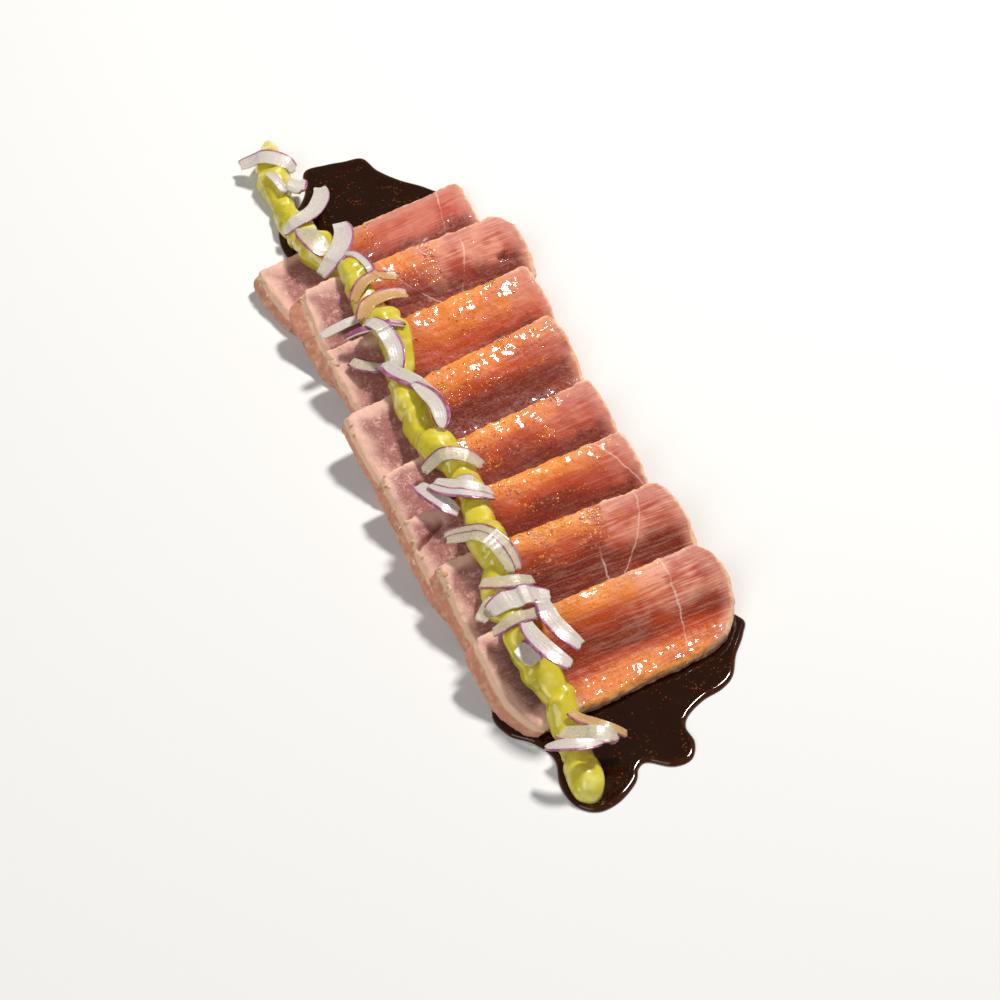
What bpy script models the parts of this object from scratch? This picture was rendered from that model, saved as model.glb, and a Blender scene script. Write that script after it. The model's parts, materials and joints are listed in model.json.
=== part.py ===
"""Tuna tataki: eight shingled slices of seared tuna under a line of green cream and red onion.

The row runs along Y. Each slice lies with its foot toward -Y and its ridge toward +Y, on the foot of
the slice behind it. Z is up and the flat undersides of the feet lie at z = 0. Lengths are in
millimetres in the tables and in metres in the meshes.
"""
import math
from dataclasses import dataclass

import bmesh
import bpy
import numpy as np
from mathutils import Matrix, Vector

MM = 0.001

# Where the row's middle lies, so that the whole dish stands centred on the origin
ROW_SHIFT_X = 2.1
ROW_SHIFT_Y = -7.3

# Tuna slices
SLICE_THICKNESS = 6.2
SLICE_DEPTH = 30.0
FOOT_HEIGHT = 5.0
RIM_ROUNDING = 1.3
SLICE_COLUMNS = 11
SLICE_ROWS = 6
SEARED_PINK = (0.50, 0.16, 0.09)

# Green cream
CREAM_RADIUS = 4.4
CREAM_STEP = 3.4
CREAM_SIDES = 10
CREAM_REACH = 2.5
CREAM_SMOOTHING = 7.0
CREAM_SINK = 0.55
CREAM_FLATNESS = 0.85
CREAM_LEAST = 0.25
CREAM_POINT_LENGTH = 15.0
CREAM_TIP_SHARE = 0.22
CREAM_GREEN = (0.56, 0.55, 0.04)

# Red onion
SLIVER_THICKNESS = 1.0
SLIVER_SEGMENTS = 8
ONION_WHITE = (0.80, 0.74, 0.74)

# Clear space left between neighbours that touch
GAP = 0.35

# Squares of the height map that the cream and the onion are laid on
CELL = 0.5
MAP_LOW = (-60.0, -160.0)
MAP_HIGH = (60.0, 160.0)


@dataclass(frozen=True)
class Slice:
    """One slice: the two ends of its ridge, how high they are, and how its foot narrows."""

    left: tuple
    right: tuple
    left_height: float
    right_height: float
    foot_inset: tuple = (6.5, 0.0)
    bulge: float = 2.0
    depth: float = SLICE_DEPTH
    foot_height: float = FOOT_HEIGHT


SLICES = (
    Slice((-42.3, 84.5), (28.4, 99.6), 7.5, 7.5, foot_inset=(8.0, 0.0), bulge=1.0, foot_height=5.5),
    Slice((-39.0, 64.7), (32.5, 75.2), 14.8, 14.0, foot_inset=(5.0, 2.0), bulge=4.5),
    Slice((-36.0, 40.0), (31.0, 51.9), 14.0, 14.0, bulge=2.5),
    Slice((-40.4, 13.1), (29.9, 30.8), 14.0, 14.0, bulge=2.5),
    Slice((-40.3, -11.5), (30.0, 2.7), 13.7, 13.7, bulge=2.5),
    Slice((-41.0, -30.7), (30.1, -21.0), 15.2, 15.2, foot_inset=(5.0, 0.0)),
    Slice((-38.8, -49.6), (31.3, -42.8), 15.7, 15.7, foot_inset=(5.0, 0.0), bulge=5.0),
    Slice((-39.8, -77.0), (32.8, -67.2), 14.7, 14.7, foot_inset=(9.0, 5.5), bulge=6.5, depth=28.5,
          foot_height=4.2),
)

# The middle of the piped line, from its pointed far end to its round near end
CREAM_ROUTE = (
    (-15.7, 144.5), (-19.2, 132.5), (-21.5, 121.5), (-22.4, 108.0), (-21.5, 97.0), (-21.8, 81.5),
    (-17.4, 71.3), (-17.7, 56.5), (-15.9, 40.5), (-16.3, 31.5), (-19.1, 20.5), (-20.6, 6.5),
    (-19.9, -10.5), (-17.1, -17.5), (-18.4, -34.0), (-20.2, -46.0), (-21.2, -58.0), (-23.7, -63.5),
    (-24.4, -85.0), (-21.4, -94.5), (-20.8, -102.0), (-21.6, -111.0), (-22.6, -122.5), (-24.9, -131.0),
)


@dataclass(frozen=True)
class Sliver:
    """One sliver of onion: its middle, heading and size; its skin lies on the outer, left edge."""

    x: float
    y: float
    heading: float
    length: float
    width: float
    radius: float = 20.0
    droop: float = 1.0
    roll: float = 0.0
    pitch: float = 0.0
    taper: float = 0.3


# Laid in this order, each on what lies there before it
SLIVERS = (
    Sliver(-22.0, 118.5, -75.0, 9.0, 2.6, droop=0.5),
    Sliver(-17.3, 114.5, -120.0, 7.5, 5.5, roll=-8.0),
    Sliver(-21.5, 128.5, -30.0, 17.0, 5.4, radius=26.0, droop=2.0),
    Sliver(-18.5, 101.0, -138.0, 25.0, 4.8, radius=16.0, droop=2.5),
    Sliver(-23.2, 82.5, 104.0, 13.0, 6.4, radius=14.0),
    Sliver(-18.5, 76.0, -122.0, 26.0, 5.6, radius=22.0, droop=3.0, pitch=-4.0),
    Sliver(-15.6, 62.5, -74.0, 13.5, 2.6, droop=0.5),
    Sliver(-27.0, 28.0, 143.0, 10.0, 4.0, radius=16.0, droop=0.3, pitch=4.0),
    Sliver(-28.4, 44.5, 10.0, 13.5, 3.0, radius=60.0, droop=0.3, pitch=-5.0),
    Sliver(-21.4, 36.0, -8.0, 17.5, 2.4, radius=40.0, droop=1.5),
    Sliver(-16.0, 52.5, 20.0, 18.0, 3.6, radius=13.0, droop=1.5),
    Sliver(-16.8, 43.5, 21.0, 19.0, 4.4, radius=14.0, droop=1.5),
    Sliver(-21.8, 26.5, -83.0, 21.0, 4.8, radius=20.0, droop=2.0),
    Sliver(-22.0, 9.0, 119.0, 20.0, 4.4, radius=40.0, droop=1.5, roll=-14.0),
    Sliver(-20.0, -5.2, -85.0, 20.0, 4.8, radius=18.0, droop=1.5, taper=0.7),
    Sliver(-28.0, -29.5, 115.0, 15.5, 4.8, radius=25.0, droop=1.5),
    Sliver(-20.0, -21.0, -15.0, 17.5, 4.6, radius=14.0, droop=2.5),
    Sliver(-20.3, -29.0, -22.0, 6.5, 3.2, droop=0.3),
    Sliver(-22.0, -32.5, 145.0, 18.0, 6.0, radius=18.0, droop=2.0),
    Sliver(-23.3, -53.0, -54.0, 24.0, 6.0, radius=17.0, droop=2.5),
    Sliver(-22.0, -66.0, 165.0, 15.0, 4.4, radius=20.0, droop=1.5),
    Sliver(-30.5, -74.5, 33.0, 8.5, 4.0, droop=0.5),
    Sliver(-23.6, -80.0, 190.0, 16.5, 4.0, radius=24.0, droop=1.5),
    Sliver(-22.4, -76.5, -1.0, 17.5, 6.4, radius=30.0, droop=1.5),
    Sliver(-26.0, -91.0, -60.0, 6.5, 5.6, droop=0.3, roll=6.0),
    Sliver(-22.0, -93.0, 108.0, 19.0, 4.8, radius=20.0, droop=2.0),
    Sliver(-17.0, -90.0, 102.0, 19.5, 4.8, radius=20.0, droop=2.0),
    Sliver(-15.8, -114.0, 136.0, 16.5, 3.2, radius=22.0, droop=2.0),
    Sliver(-20.3, -119.0, 150.0, 15.5, 5.8, radius=18.0, droop=2.0),
    Sliver(-26.4, -123.5, 161.0, 15.0, 3.8, radius=20.0, droop=2.5, taper=0.6),
)


class HeightMap:
    """How high things reach above each small square of the table."""

    def __init__(self) -> None:
        """Start as a bare table at z = 0."""
        across = int((MAP_HIGH[0] - MAP_LOW[0]) / CELL)
        along = int((MAP_HIGH[1] - MAP_LOW[1]) / CELL)
        self.cells = np.zeros((across, along))

    def cell(self, x: float, y: float) -> tuple:
        """Return the square that a place lies in."""
        return int((x - MAP_LOW[0]) / CELL), int((y - MAP_LOW[1]) / CELL)

    def cover(self, x: float, y: float, z: float) -> None:
        """Raise the square at a place, and those that touch it, to a height."""
        column, row = self.cell(x, y)
        patch = self.cells[column - 1:column + 2, row - 1:row + 2]
        np.maximum(patch, z, out=patch)

    def height(self, x: float, y: float, reach: float = 0.0) -> float:
        """Return the greatest height within a reach of a place."""
        column, row = self.cell(x, y)
        span = int(math.ceil(reach / CELL))
        return float(self.cells[column - span:column + span + 1, row - span:row + span + 1].max())


def shoulder(v: float) -> float:
    """Return the rise from foot (0) to ridge (1), steepest in the middle."""
    return 0.25 * v + 0.75 * v * v * (3.0 - 2.0 * v)


def slice_place(piece: Slice, u: float, v: float, w: float) -> Vector:
    """Return the point of a slice at u along it, v from foot to ridge and w through it."""
    ridge_x = piece.left[0] + (piece.right[0] - piece.left[0]) * u
    ridge_y = piece.left[1] + (piece.right[1] - piece.left[1]) * u
    drop = 1.0 - v
    inset = piece.foot_inset[0] * (1.0 - u) - piece.foot_inset[1] * u
    swell = piece.bulge * 4.0 * v * drop * u ** 3
    x = ridge_x + inset * drop * drop + swell
    y = ridge_y - piece.depth * drop
    ridge_height = piece.left_height + (piece.right_height - piece.left_height) * u
    top = piece.foot_height + (ridge_height - piece.foot_height) * shoulder(v)
    underside = max(0.0, top - SLICE_THICKNESS)
    return Vector((x, y, underside + (top - underside) * w))


def sheet_block(columns: int, rows: int) -> bmesh.types.BMesh:
    """Return a unit block from (0, 0, 0) to (1, 1, 1), divided along and across."""
    mesh = bmesh.new()
    bmesh.ops.create_grid(mesh, x_segments=columns, y_segments=rows, size=0.5)
    grown = bmesh.ops.extrude_face_region(mesh, geom=mesh.faces[:])
    top = [item for item in grown["geom"] if isinstance(item, bmesh.types.BMVert)]
    bmesh.ops.translate(mesh, verts=top, vec=(0.0, 0.0, 1.0))
    bmesh.ops.translate(mesh, verts=mesh.verts, vec=(0.5, 0.5, 0.0))
    return mesh


def finish_object(name: str, mesh: bmesh.types.BMesh, material: bpy.types.Material) -> bpy.types.Object:
    """Turn a mesh in millimetres into a named object in metres, centred on the dish's origin."""
    bmesh.ops.translate(mesh, verts=mesh.verts, vec=(ROW_SHIFT_X, ROW_SHIFT_Y, 0.0))
    bmesh.ops.scale(mesh, verts=mesh.verts, vec=(MM, MM, MM))
    bmesh.ops.recalc_face_normals(mesh, faces=mesh.faces)
    data = bpy.data.meshes.new(name)
    mesh.to_mesh(data)
    mesh.free()
    data.shade_smooth()
    data.set_sharp_from_angle(angle=math.radians(50.0))
    data.materials.append(material)
    thing = bpy.data.objects.new(name, data)
    bpy.context.scene.collection.objects.link(thing)
    return thing


def plain_material(name: str, colour: tuple, roughness: float) -> bpy.types.Material:
    """Return a Principled material of one colour."""
    material = bpy.data.materials.new(name)
    material.use_nodes = True
    surface = material.node_tree.nodes["Principled BSDF"]
    surface.inputs["Base Color"].default_value = (*colour, 1.0)
    surface.inputs["Roughness"].default_value = roughness
    surface.inputs["Metallic"].default_value = 0.0
    return material


def add_slices(heights: HeightMap) -> None:
    """Model each slice and mark how high its face reaches."""
    samples_along = 180
    samples_across = 80
    for number, piece in enumerate(SLICES, start=1):
        material = plain_material(f"seared_tuna_{number}", SEARED_PINK, 0.35)
        mesh = sheet_block(SLICE_COLUMNS, SLICE_ROWS)
        for vert in mesh.verts:
            vert.co = slice_place(piece, *vert.co)
        thing = finish_object(f"tuna_slice_{number}", mesh, material)
        rim = thing.modifiers.new("rounded rim", "BEVEL")
        rim.width = RIM_ROUNDING * MM
        rim.segments = 2
        rim.limit_method = "ANGLE"
        rim.angle_limit = math.radians(45.0)
        for i in range(samples_along + 1):
            for j in range(samples_across + 1):
                point = slice_place(piece, i / samples_along, j / samples_across, 1.0)
                heights.cover(point.x, point.y, point.z)


def smooth_route(points: tuple, step: float) -> list:
    """Return places at an even step along a smooth curve through the given points."""
    dense = []
    steps_per_span = 24
    for index in range(len(points) - 1):
        before = Vector(points[max(index - 1, 0)])
        start = Vector(points[index])
        end = Vector(points[index + 1])
        after = Vector(points[min(index + 2, len(points) - 1)])
        for k in range(steps_per_span):
            t = k / steps_per_span
            dense.append(0.5 * (2.0 * start + (end - before) * t
                                + (2.0 * before - 5.0 * start + 4.0 * end - after) * t ** 2
                                + (3.0 * start - before - 3.0 * end + after) * t ** 3))
    dense.append(Vector(points[-1]))
    route = [dense[0]]
    for place in dense[1:]:
        if (place - route[-1]).length >= step:
            route.append(place)
    return route


def cream_width(share: float, length: float) -> float:
    """Return the line's half width at a share of its length: pointed far end, round near end."""
    along = share * length
    left_over = (1.0 - share) * length
    point = min(1.0, CREAM_TIP_SHARE + along / CREAM_POINT_LENGTH)
    into_end = min(1.0, (left_over + 0.8) / CREAM_RADIUS)
    end = math.sqrt(1.0 - (1.0 - into_end) ** 2)
    piping = 1.0 + 0.10 * math.sin(along / 7.3) + 0.06 * math.sin(along / 3.1 + 1.0)
    return CREAM_RADIUS * point * end * piping


def add_cream(heights: HeightMap) -> None:
    """Pipe the green line over the slices, resting on what lies below it."""
    route = smooth_route(CREAM_ROUTE, CREAM_STEP)
    length = CREAM_STEP * (len(route) - 1)
    rests = [heights.height(place.x, place.y, CREAM_REACH) for place in route]
    span = int(round(CREAM_SMOOTHING / CREAM_STEP))
    mesh = bmesh.new()
    rings = []
    for index, place in enumerate(route):
        near = rests[max(index - span, 0):index + span + 1]
        half = cream_width(index / (len(route) - 1), length)
        base = 0.5 * (sum(near) / len(near) + rests[index])
        centre = base + CREAM_SINK * half
        ahead = route[min(index + 1, len(route) - 1)] - route[max(index - 1, 0)]
        side = Vector((-ahead.y, ahead.x)).normalized()
        ring = []
        for k in range(CREAM_SIDES):
            angle = 2.0 * math.pi * (k + 0.5) / CREAM_SIDES
            offset = side * (math.cos(angle) * half)
            x = place.x + offset.x
            y = place.y + offset.y
            below = heights.height(x, y, CREAM_REACH)
            lowest = below + GAP if below > 0.0 else 0.0
            if math.sin(angle) > 0.0:
                lowest += CREAM_LEAST * half
            z = max(centre + math.sin(angle) * half * CREAM_FLATNESS, lowest)
            ring.append(mesh.verts.new((x, y, z)))
        rings.append(ring)
    for first, second in zip(rings[:-1], rings[1:]):
        for k in range(CREAM_SIDES):
            after = (k + 1) % CREAM_SIDES
            mesh.faces.new((first[k], first[after], second[after], second[k]))
    mesh.faces.new(list(reversed(rings[0])))
    mesh.faces.new(rings[-1])
    bmesh.ops.triangulate(mesh, faces=mesh.faces)
    cover_triangles(heights, mesh)
    finish_object("cream_line", mesh, plain_material("green_cream", CREAM_GREEN, 0.4))


def cover_triangles(heights: HeightMap, mesh: bmesh.types.BMesh) -> None:
    """Raise the height map under every triangle of a mesh that faces up or sideways."""
    for face in mesh.faces:
        corners = [vert.co for vert in face.verts]
        longest = max((corners[0] - corners[1]).length, (corners[1] - corners[2]).length,
                      (corners[2] - corners[0]).length)
        steps = max(1, int(math.ceil(longest / CELL)))
        for i in range(steps + 1):
            for j in range(steps + 1 - i):
                a = i / steps
                b = j / steps
                point = corners[0] * (1.0 - a - b) + corners[1] * a + corners[2] * b
                heights.cover(point.x, point.y, point.z)


def sliver_place(piece: Sliver, s: float, c: float, w: float) -> Vector:
    """Return a point of a flat-lying sliver: s along it, c across it (-1 to 1) and w through it."""
    half_width = 0.5 * piece.width * (1.0 - piece.taper * abs(s) ** 3)
    radius = piece.radius + c * half_width
    angle = s * 0.5 * piece.length / piece.radius
    middle = piece.radius * (1.0 + math.cos(0.5 * piece.length / piece.radius)) / 2.0
    x = radius * math.sin(angle)
    y = radius * math.cos(angle) - middle
    return Vector((x, y, w * SLIVER_THICKNESS - piece.droop * s * s))


def add_slivers(heights: HeightMap) -> None:
    """Model each sliver and let it down until it rests, a small gap above what is below it."""
    material = plain_material("red_onion", ONION_WHITE, 0.3)
    for number, piece in enumerate(SLIVERS, start=1):
        mesh = sheet_block(SLIVER_SEGMENTS, 1)
        tilt = (Matrix.Rotation(math.radians(piece.heading), 4, "Z")
                @ Matrix.Rotation(math.radians(piece.pitch), 4, "Y")
                @ Matrix.Rotation(math.radians(piece.roll), 4, "X"))
        for vert in mesh.verts:
            flat = sliver_place(piece, 2.0 * vert.co.x - 1.0, 2.0 * vert.co.y - 1.0, vert.co.z)
            vert.co = tilt @ flat + Vector((piece.x, piece.y, 0.0))
        lift = 0.0
        for i in range(25):
            for j in range(9):
                flat = sliver_place(piece, i / 12.0 - 1.0, j / 4.0 - 1.0, 0.0)
                point = tilt @ flat + Vector((piece.x, piece.y, 0.0))
                lift = max(lift, heights.height(point.x, point.y, CELL) + GAP - point.z)
        bmesh.ops.translate(mesh, verts=mesh.verts, vec=(0.0, 0.0, lift))
        bmesh.ops.triangulate(mesh, faces=mesh.faces)
        cover_triangles(heights, mesh)
        finish_object(f"onion_sliver_{number:02d}", mesh, material)


def main() -> None:
    """Clear the scene and lay the slices, the cream and the onion in turn."""
    for thing in list(bpy.data.objects):
        bpy.data.objects.remove(thing, do_unlink=True)
    heights = HeightMap()
    add_slices(heights)
    add_cream(heights)
    add_slivers(heights)


main()
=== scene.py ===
"""Looks of a row of tuna tataki: seared slices, piped green cream, red onion and brown sauce.

The slices and the cream stand where the fixed frame has them. The onion starts there and is let down
along the camera's line of sight until it touches what lies under it. Shapes are worked out in
millimetres, in the row's own places, and turned into metres on the frame's origin at the end of each
piece. Along a slice, u runs from its left end to its right end, v from its foot to its ridge and w from
its underside to its cut face.
"""
from __future__ import annotations

import json
import logging
import math
from dataclasses import dataclass
from enum import Enum

import bpy
import numpy as np
from mathutils import Matrix, Vector
from mathutils.bvhtree import BVHTree

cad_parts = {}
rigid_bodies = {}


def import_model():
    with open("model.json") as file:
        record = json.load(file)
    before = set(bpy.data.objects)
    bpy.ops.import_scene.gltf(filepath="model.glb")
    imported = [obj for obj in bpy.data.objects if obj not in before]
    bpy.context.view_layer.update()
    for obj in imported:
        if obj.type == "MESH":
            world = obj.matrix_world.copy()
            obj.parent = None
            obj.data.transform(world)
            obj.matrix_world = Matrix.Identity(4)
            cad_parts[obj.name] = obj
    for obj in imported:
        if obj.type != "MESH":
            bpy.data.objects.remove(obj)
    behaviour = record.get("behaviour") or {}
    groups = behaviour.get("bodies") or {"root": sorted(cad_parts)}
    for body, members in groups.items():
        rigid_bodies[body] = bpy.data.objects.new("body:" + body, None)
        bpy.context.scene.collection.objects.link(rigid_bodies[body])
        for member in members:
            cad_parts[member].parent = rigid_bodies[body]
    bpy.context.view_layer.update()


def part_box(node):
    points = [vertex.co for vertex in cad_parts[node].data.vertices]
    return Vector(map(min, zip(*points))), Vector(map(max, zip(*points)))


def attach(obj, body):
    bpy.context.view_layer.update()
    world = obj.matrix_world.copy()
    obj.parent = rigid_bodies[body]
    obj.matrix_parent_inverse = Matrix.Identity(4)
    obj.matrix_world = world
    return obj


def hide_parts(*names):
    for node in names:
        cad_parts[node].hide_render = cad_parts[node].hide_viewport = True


LOG = logging.getLogger("tataki")

MM = 0.001
ROW_SHIFT = np.array((2.1, -7.3, 0.0))
BODY = "root"

Colour = tuple[float, float, float]
Place = tuple[float, float, float]

PROBE_HEIGHT = 80.0
FLOOR_DROP = 0.0001


# Hand tools


def start_selection(piece: bpy.types.Object | None = None) -> None:
    """Deselect everything and, where a piece is given, select and activate it alone."""
    if bpy.context.mode != "OBJECT":
        bpy.ops.object.mode_set(mode="OBJECT")
    bpy.ops.object.select_all(action="DESELECT")
    if piece is not None:
        piece.select_set(True)
        bpy.context.view_layer.objects.active = piece


def rows_of(items: object, key: str) -> np.ndarray:
    """Return the rows of three that a collection keeps under a key."""
    rows = np.empty(len(items) * 3)
    items.foreach_get(key, rows)
    return rows.reshape(-1, 3)


def read_points(piece: bpy.types.Object) -> np.ndarray:
    """Return a piece's vertices as an array of rows."""
    return rows_of(piece.data.vertices, "co")


def write_points(piece: bpy.types.Object, points: np.ndarray) -> None:
    """Move a piece's vertices to the rows of an array."""
    piece.data.vertices.foreach_set("co", np.ascontiguousarray(points, dtype=np.float32).ravel())
    piece.data.update()


def read_normals(piece: bpy.types.Object) -> np.ndarray:
    """Return a piece's vertex normals as an array of rows."""
    return rows_of(piece.data.vertex_normals, "vector")


def write_mark(piece: bpy.types.Object, name: str, values: np.ndarray) -> None:
    """Keep a value, or a row of three, for each vertex under a name that the finishes read."""
    kind, field_name = ("FLOAT", "value") if values.ndim == 1 else ("FLOAT_VECTOR", "vector")
    mark = piece.data.attributes.new(name, kind, "POINT")
    mark.data.foreach_set(field_name, np.ascontiguousarray(values, dtype=np.float32).ravel())


def read_mark(piece: bpy.types.Object, name: str) -> np.ndarray:
    """Return the rows of three that a piece keeps under a name."""
    return rows_of(piece.data.attributes[name].data, "vector")


def refine(piece: bpy.types.Object, levels: int) -> None:
    """Smooth a piece with an applied subdivision surface."""
    start_selection(piece)
    surface = piece.modifiers.new("fine surface", "SUBSURF")
    surface.levels = levels
    surface.render_levels = levels
    bpy.ops.object.modifier_apply(modifier=surface.name)


def settle(piece: bpy.types.Object) -> None:
    """Turn a piece from row millimetres into metres on the frame's origin, shaded smooth."""
    write_points(piece, (read_points(piece) + ROW_SHIFT) * MM)
    piece.data.shade_smooth()


def point_outward(piece: bpy.types.Object) -> None:
    """Turn all of a closed piece's faces outward."""
    start_selection(piece)
    bpy.ops.object.mode_set(mode="EDIT")
    bpy.ops.mesh.select_all(action="SELECT")
    bpy.ops.mesh.normals_make_consistent(inside=False)
    bpy.ops.object.mode_set(mode="OBJECT")


def present(piece: bpy.types.Object, slot: str, material: bpy.types.Material, *nodes: str) -> None:
    """Dress a finished piece, give it its body and say which nodes it stands for."""
    piece.data.materials.clear()
    piece.data.materials.append(material)
    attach(piece, BODY)
    if nodes:
        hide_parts(*nodes)
    stands_for = ", ".join(nodes) or "nothing in the CAD"
    LOG.info("%s: %d vertices, stands for %s", piece.name, len(piece.data.vertices), stands_for)


def newest(name: str) -> bpy.types.Object:
    """Name the object that was just added and return it."""
    piece = bpy.context.object
    piece.name = piece.data.name = name
    return piece


def block(name: str, size: Place, columns: int, rows: int, layers: int) -> bpy.types.Object:
    """Model a closed block from a grid raised in layers.

    Args:
        name: The object's name.
        size: Length, depth and height in millimetres.
        columns: Squares along the length.
        rows: Squares along the depth.
        layers: Steps in which the grid is raised.

    Returns:
        The block, from the origin to its size.
    """
    start_selection()
    bpy.ops.mesh.primitive_grid_add(x_subdivisions=columns, y_subdivisions=rows, size=1.0,
                                    location=(0.0, 0.0, 0.0))
    piece = newest(name)
    bpy.ops.object.mode_set(mode="EDIT")
    bpy.ops.mesh.select_all(action="SELECT")
    bpy.ops.transform.resize(value=(size[0], size[1], 1.0))
    for _ in range(layers):
        bpy.ops.mesh.extrude_region_move(
            TRANSFORM_OT_translate={"value": (0.0, 0.0, size[2] / layers)})
    bpy.ops.mesh.select_all(action="SELECT")
    bpy.ops.transform.translate(value=(size[0] / 2.0, size[1] / 2.0, 0.0))
    point_outward(piece)
    return piece


def copy_of(piece: bpy.types.Object, name: str) -> bpy.types.Object:
    """Return a copy of a piece with a mesh of its own."""
    twin = piece.copy()
    twin.data = piece.data.copy()
    twin.name = twin.data.name = name
    bpy.context.scene.collection.objects.link(twin)
    return twin


def ease(values: np.ndarray, low: float, high: float) -> np.ndarray:
    """Return how far values have come from low (0) to high (1), with soft ends."""
    share = np.clip((values - low) / (high - low), 0.0, 1.0)
    return share * share * (3.0 - 2.0 * share)


class Lattice:
    """Smooth random values in space, the same each run."""

    SIDE = 32

    def __init__(self, seed: int) -> None:
        """Fill the lattice from a seed."""
        self.values = np.random.default_rng(seed).random((self.SIDE,) * 3)

    def at(self, points: np.ndarray, wavelength: float) -> np.ndarray:
        """Return a value from -1 to 1 at each point.

        Args:
            points: Rows of three.
            wavelength: Size of one cell of the lattice, in the points' own units.

        Returns:
            One value for each row.
        """
        place = points / wavelength
        base = np.floor(place).astype(int)
        part = place - base
        part = part * part * (3.0 - 2.0 * part)
        total = np.zeros(len(points))
        for corner in np.ndindex(2, 2, 2):
            weight = np.prod(np.where(np.array(corner), part, 1.0 - part), axis=1)
            index = (base + np.array(corner)) % self.SIDE
            total += weight * self.values[index[:, 0], index[:, 1], index[:, 2]]
        return total * 2.0 - 1.0


# Shader tools


class Canvas:
    """A node tree with short ways to add the nodes that the finishes use."""

    def __init__(self, tree: bpy.types.NodeTree) -> None:
        """Work on a tree."""
        self.tree = tree

    def node(self, kind: str, **settings: object) -> bpy.types.Node:
        """Add a node of a kind and set its properties."""
        made = self.tree.nodes.new(kind)
        for key, value in settings.items():
            setattr(made, key, value)
        return made

    def feed(self, socket: bpy.types.NodeSocket, source: object) -> None:
        """Link a socket to a source, or set it to a number, vector or colour."""
        if isinstance(source, bpy.types.NodeSocket):
            self.tree.links.new(source, socket)
        elif isinstance(source, tuple) and socket.type == "RGBA":
            socket.default_value = (*source, 1.0)
        else:
            socket.default_value = source

    def math(self, operation: str, *values: object) -> bpy.types.NodeSocket:
        """Return the result of a math node."""
        made = self.node("ShaderNodeMath", operation=operation)
        for socket, value in zip(made.inputs, values):
            self.feed(socket, value)
        return made.outputs[0]

    def times(self, *values: object) -> bpy.types.NodeSocket:
        """Return a product of two values."""
        return self.math("MULTIPLY", *values)

    def line(self, *values: object) -> bpy.types.NodeSocket:
        """Return a value times a slope plus a start."""
        return self.math("MULTIPLY_ADD", *values)

    def spot(self) -> bpy.types.NodeSocket:
        """Return the shaded point's place on its object, in metres."""
        return self.node("ShaderNodeTexCoord").outputs["Object"]

    def flat_vector(self, first: object, second: object) -> bpy.types.NodeSocket:
        """Return a vector from its first two parts."""
        made = self.node("ShaderNodeCombineXYZ")
        self.feed(made.inputs[0], first)
        self.feed(made.inputs[1], second)
        return made.outputs[0]

    def span(self, value: object, low: float, high: float, start: float = 0.0,
             end: float = 1.0) -> bpy.types.NodeSocket:
        """Return a value mapped softly from low..high to start..end."""
        made = self.node("ShaderNodeMapRange", interpolation_type="SMOOTHSTEP")
        for index, part in enumerate((value, low, high, start, end)):
            self.feed(made.inputs[index], part)
        return made.outputs[0]

    def blend(self, share: object, first: object, second: object,
              mode: str = "MIX") -> bpy.types.NodeSocket:
        """Return a mix of two colours."""
        made = self.node("ShaderNodeMix", data_type="RGBA", blend_type=mode)
        self.feed(made.inputs[0], share)
        self.feed(made.inputs[6], first)
        self.feed(made.inputs[7], second)
        return made.outputs[2]

    def noise(self, vector: object, scale: float, detail: float = 2.0,
              roughness: float = 0.5) -> bpy.types.NodeSocket:
        """Return the value of a noise texture."""
        made = self.node("ShaderNodeTexNoise")
        self.feed(made.inputs["Vector"], vector)
        self.feed(made.inputs["Scale"], scale)
        self.feed(made.inputs["Detail"], detail)
        self.feed(made.inputs["Roughness"], roughness)
        return made.outputs[0]

    def ramp(self, share: object, stops: tuple) -> bpy.types.NodeSocket:
        """Return a colour from a ramp with (place, colour) stops."""
        made = self.node("ShaderNodeValToRGB")
        made.color_ramp.interpolation = "EASE"
        while len(made.color_ramp.elements) < len(stops):
            made.color_ramp.elements.new(0.5)
        for element, (place, colour) in zip(made.color_ramp.elements, stops):
            element.position = place
            element.color = (*colour, 1.0)
        self.feed(made.inputs[0], share)
        return made.outputs[0]

    def mark(self, name: str) -> bpy.types.Node:
        """Return the node that reads a piece's own mark."""
        return self.node("ShaderNodeAttribute", attribute_name=name)

    def parts(self, vector: object) -> tuple:
        """Return a vector's three parts."""
        made = self.node("ShaderNodeSeparateXYZ")
        self.feed(made.inputs[0], vector)
        return tuple(made.outputs)

    def group(self, tree: bpy.types.NodeTree, **values: object) -> bpy.types.Node:
        """Place a node group with its own values."""
        made = self.node("ShaderNodeGroup", node_tree=tree)
        for key, value in values.items():
            self.feed(made.inputs[key.replace("_", " ")], value)
        return made


def new_group(name: str, inputs: tuple, outputs: tuple) -> tuple:
    """Make an empty node group.

    Args:
        name: The group's name.
        inputs: Names, socket kinds and default values.
        outputs: Names and socket kinds.

    Returns:
        The tree, a canvas on it, its input node and its output node.
    """
    tree = bpy.data.node_groups.new(name, "ShaderNodeTree")
    for label, kind, value in inputs:
        socket = tree.interface.new_socket(label, in_out="INPUT", socket_type=kind)
        if value is not None:
            socket.default_value = value
    for label, kind in outputs:
        tree.interface.new_socket(label, in_out="OUTPUT", socket_type=kind)
    return tree, Canvas(tree), tree.nodes.new("NodeGroupInput"), tree.nodes.new("NodeGroupOutput")


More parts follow.
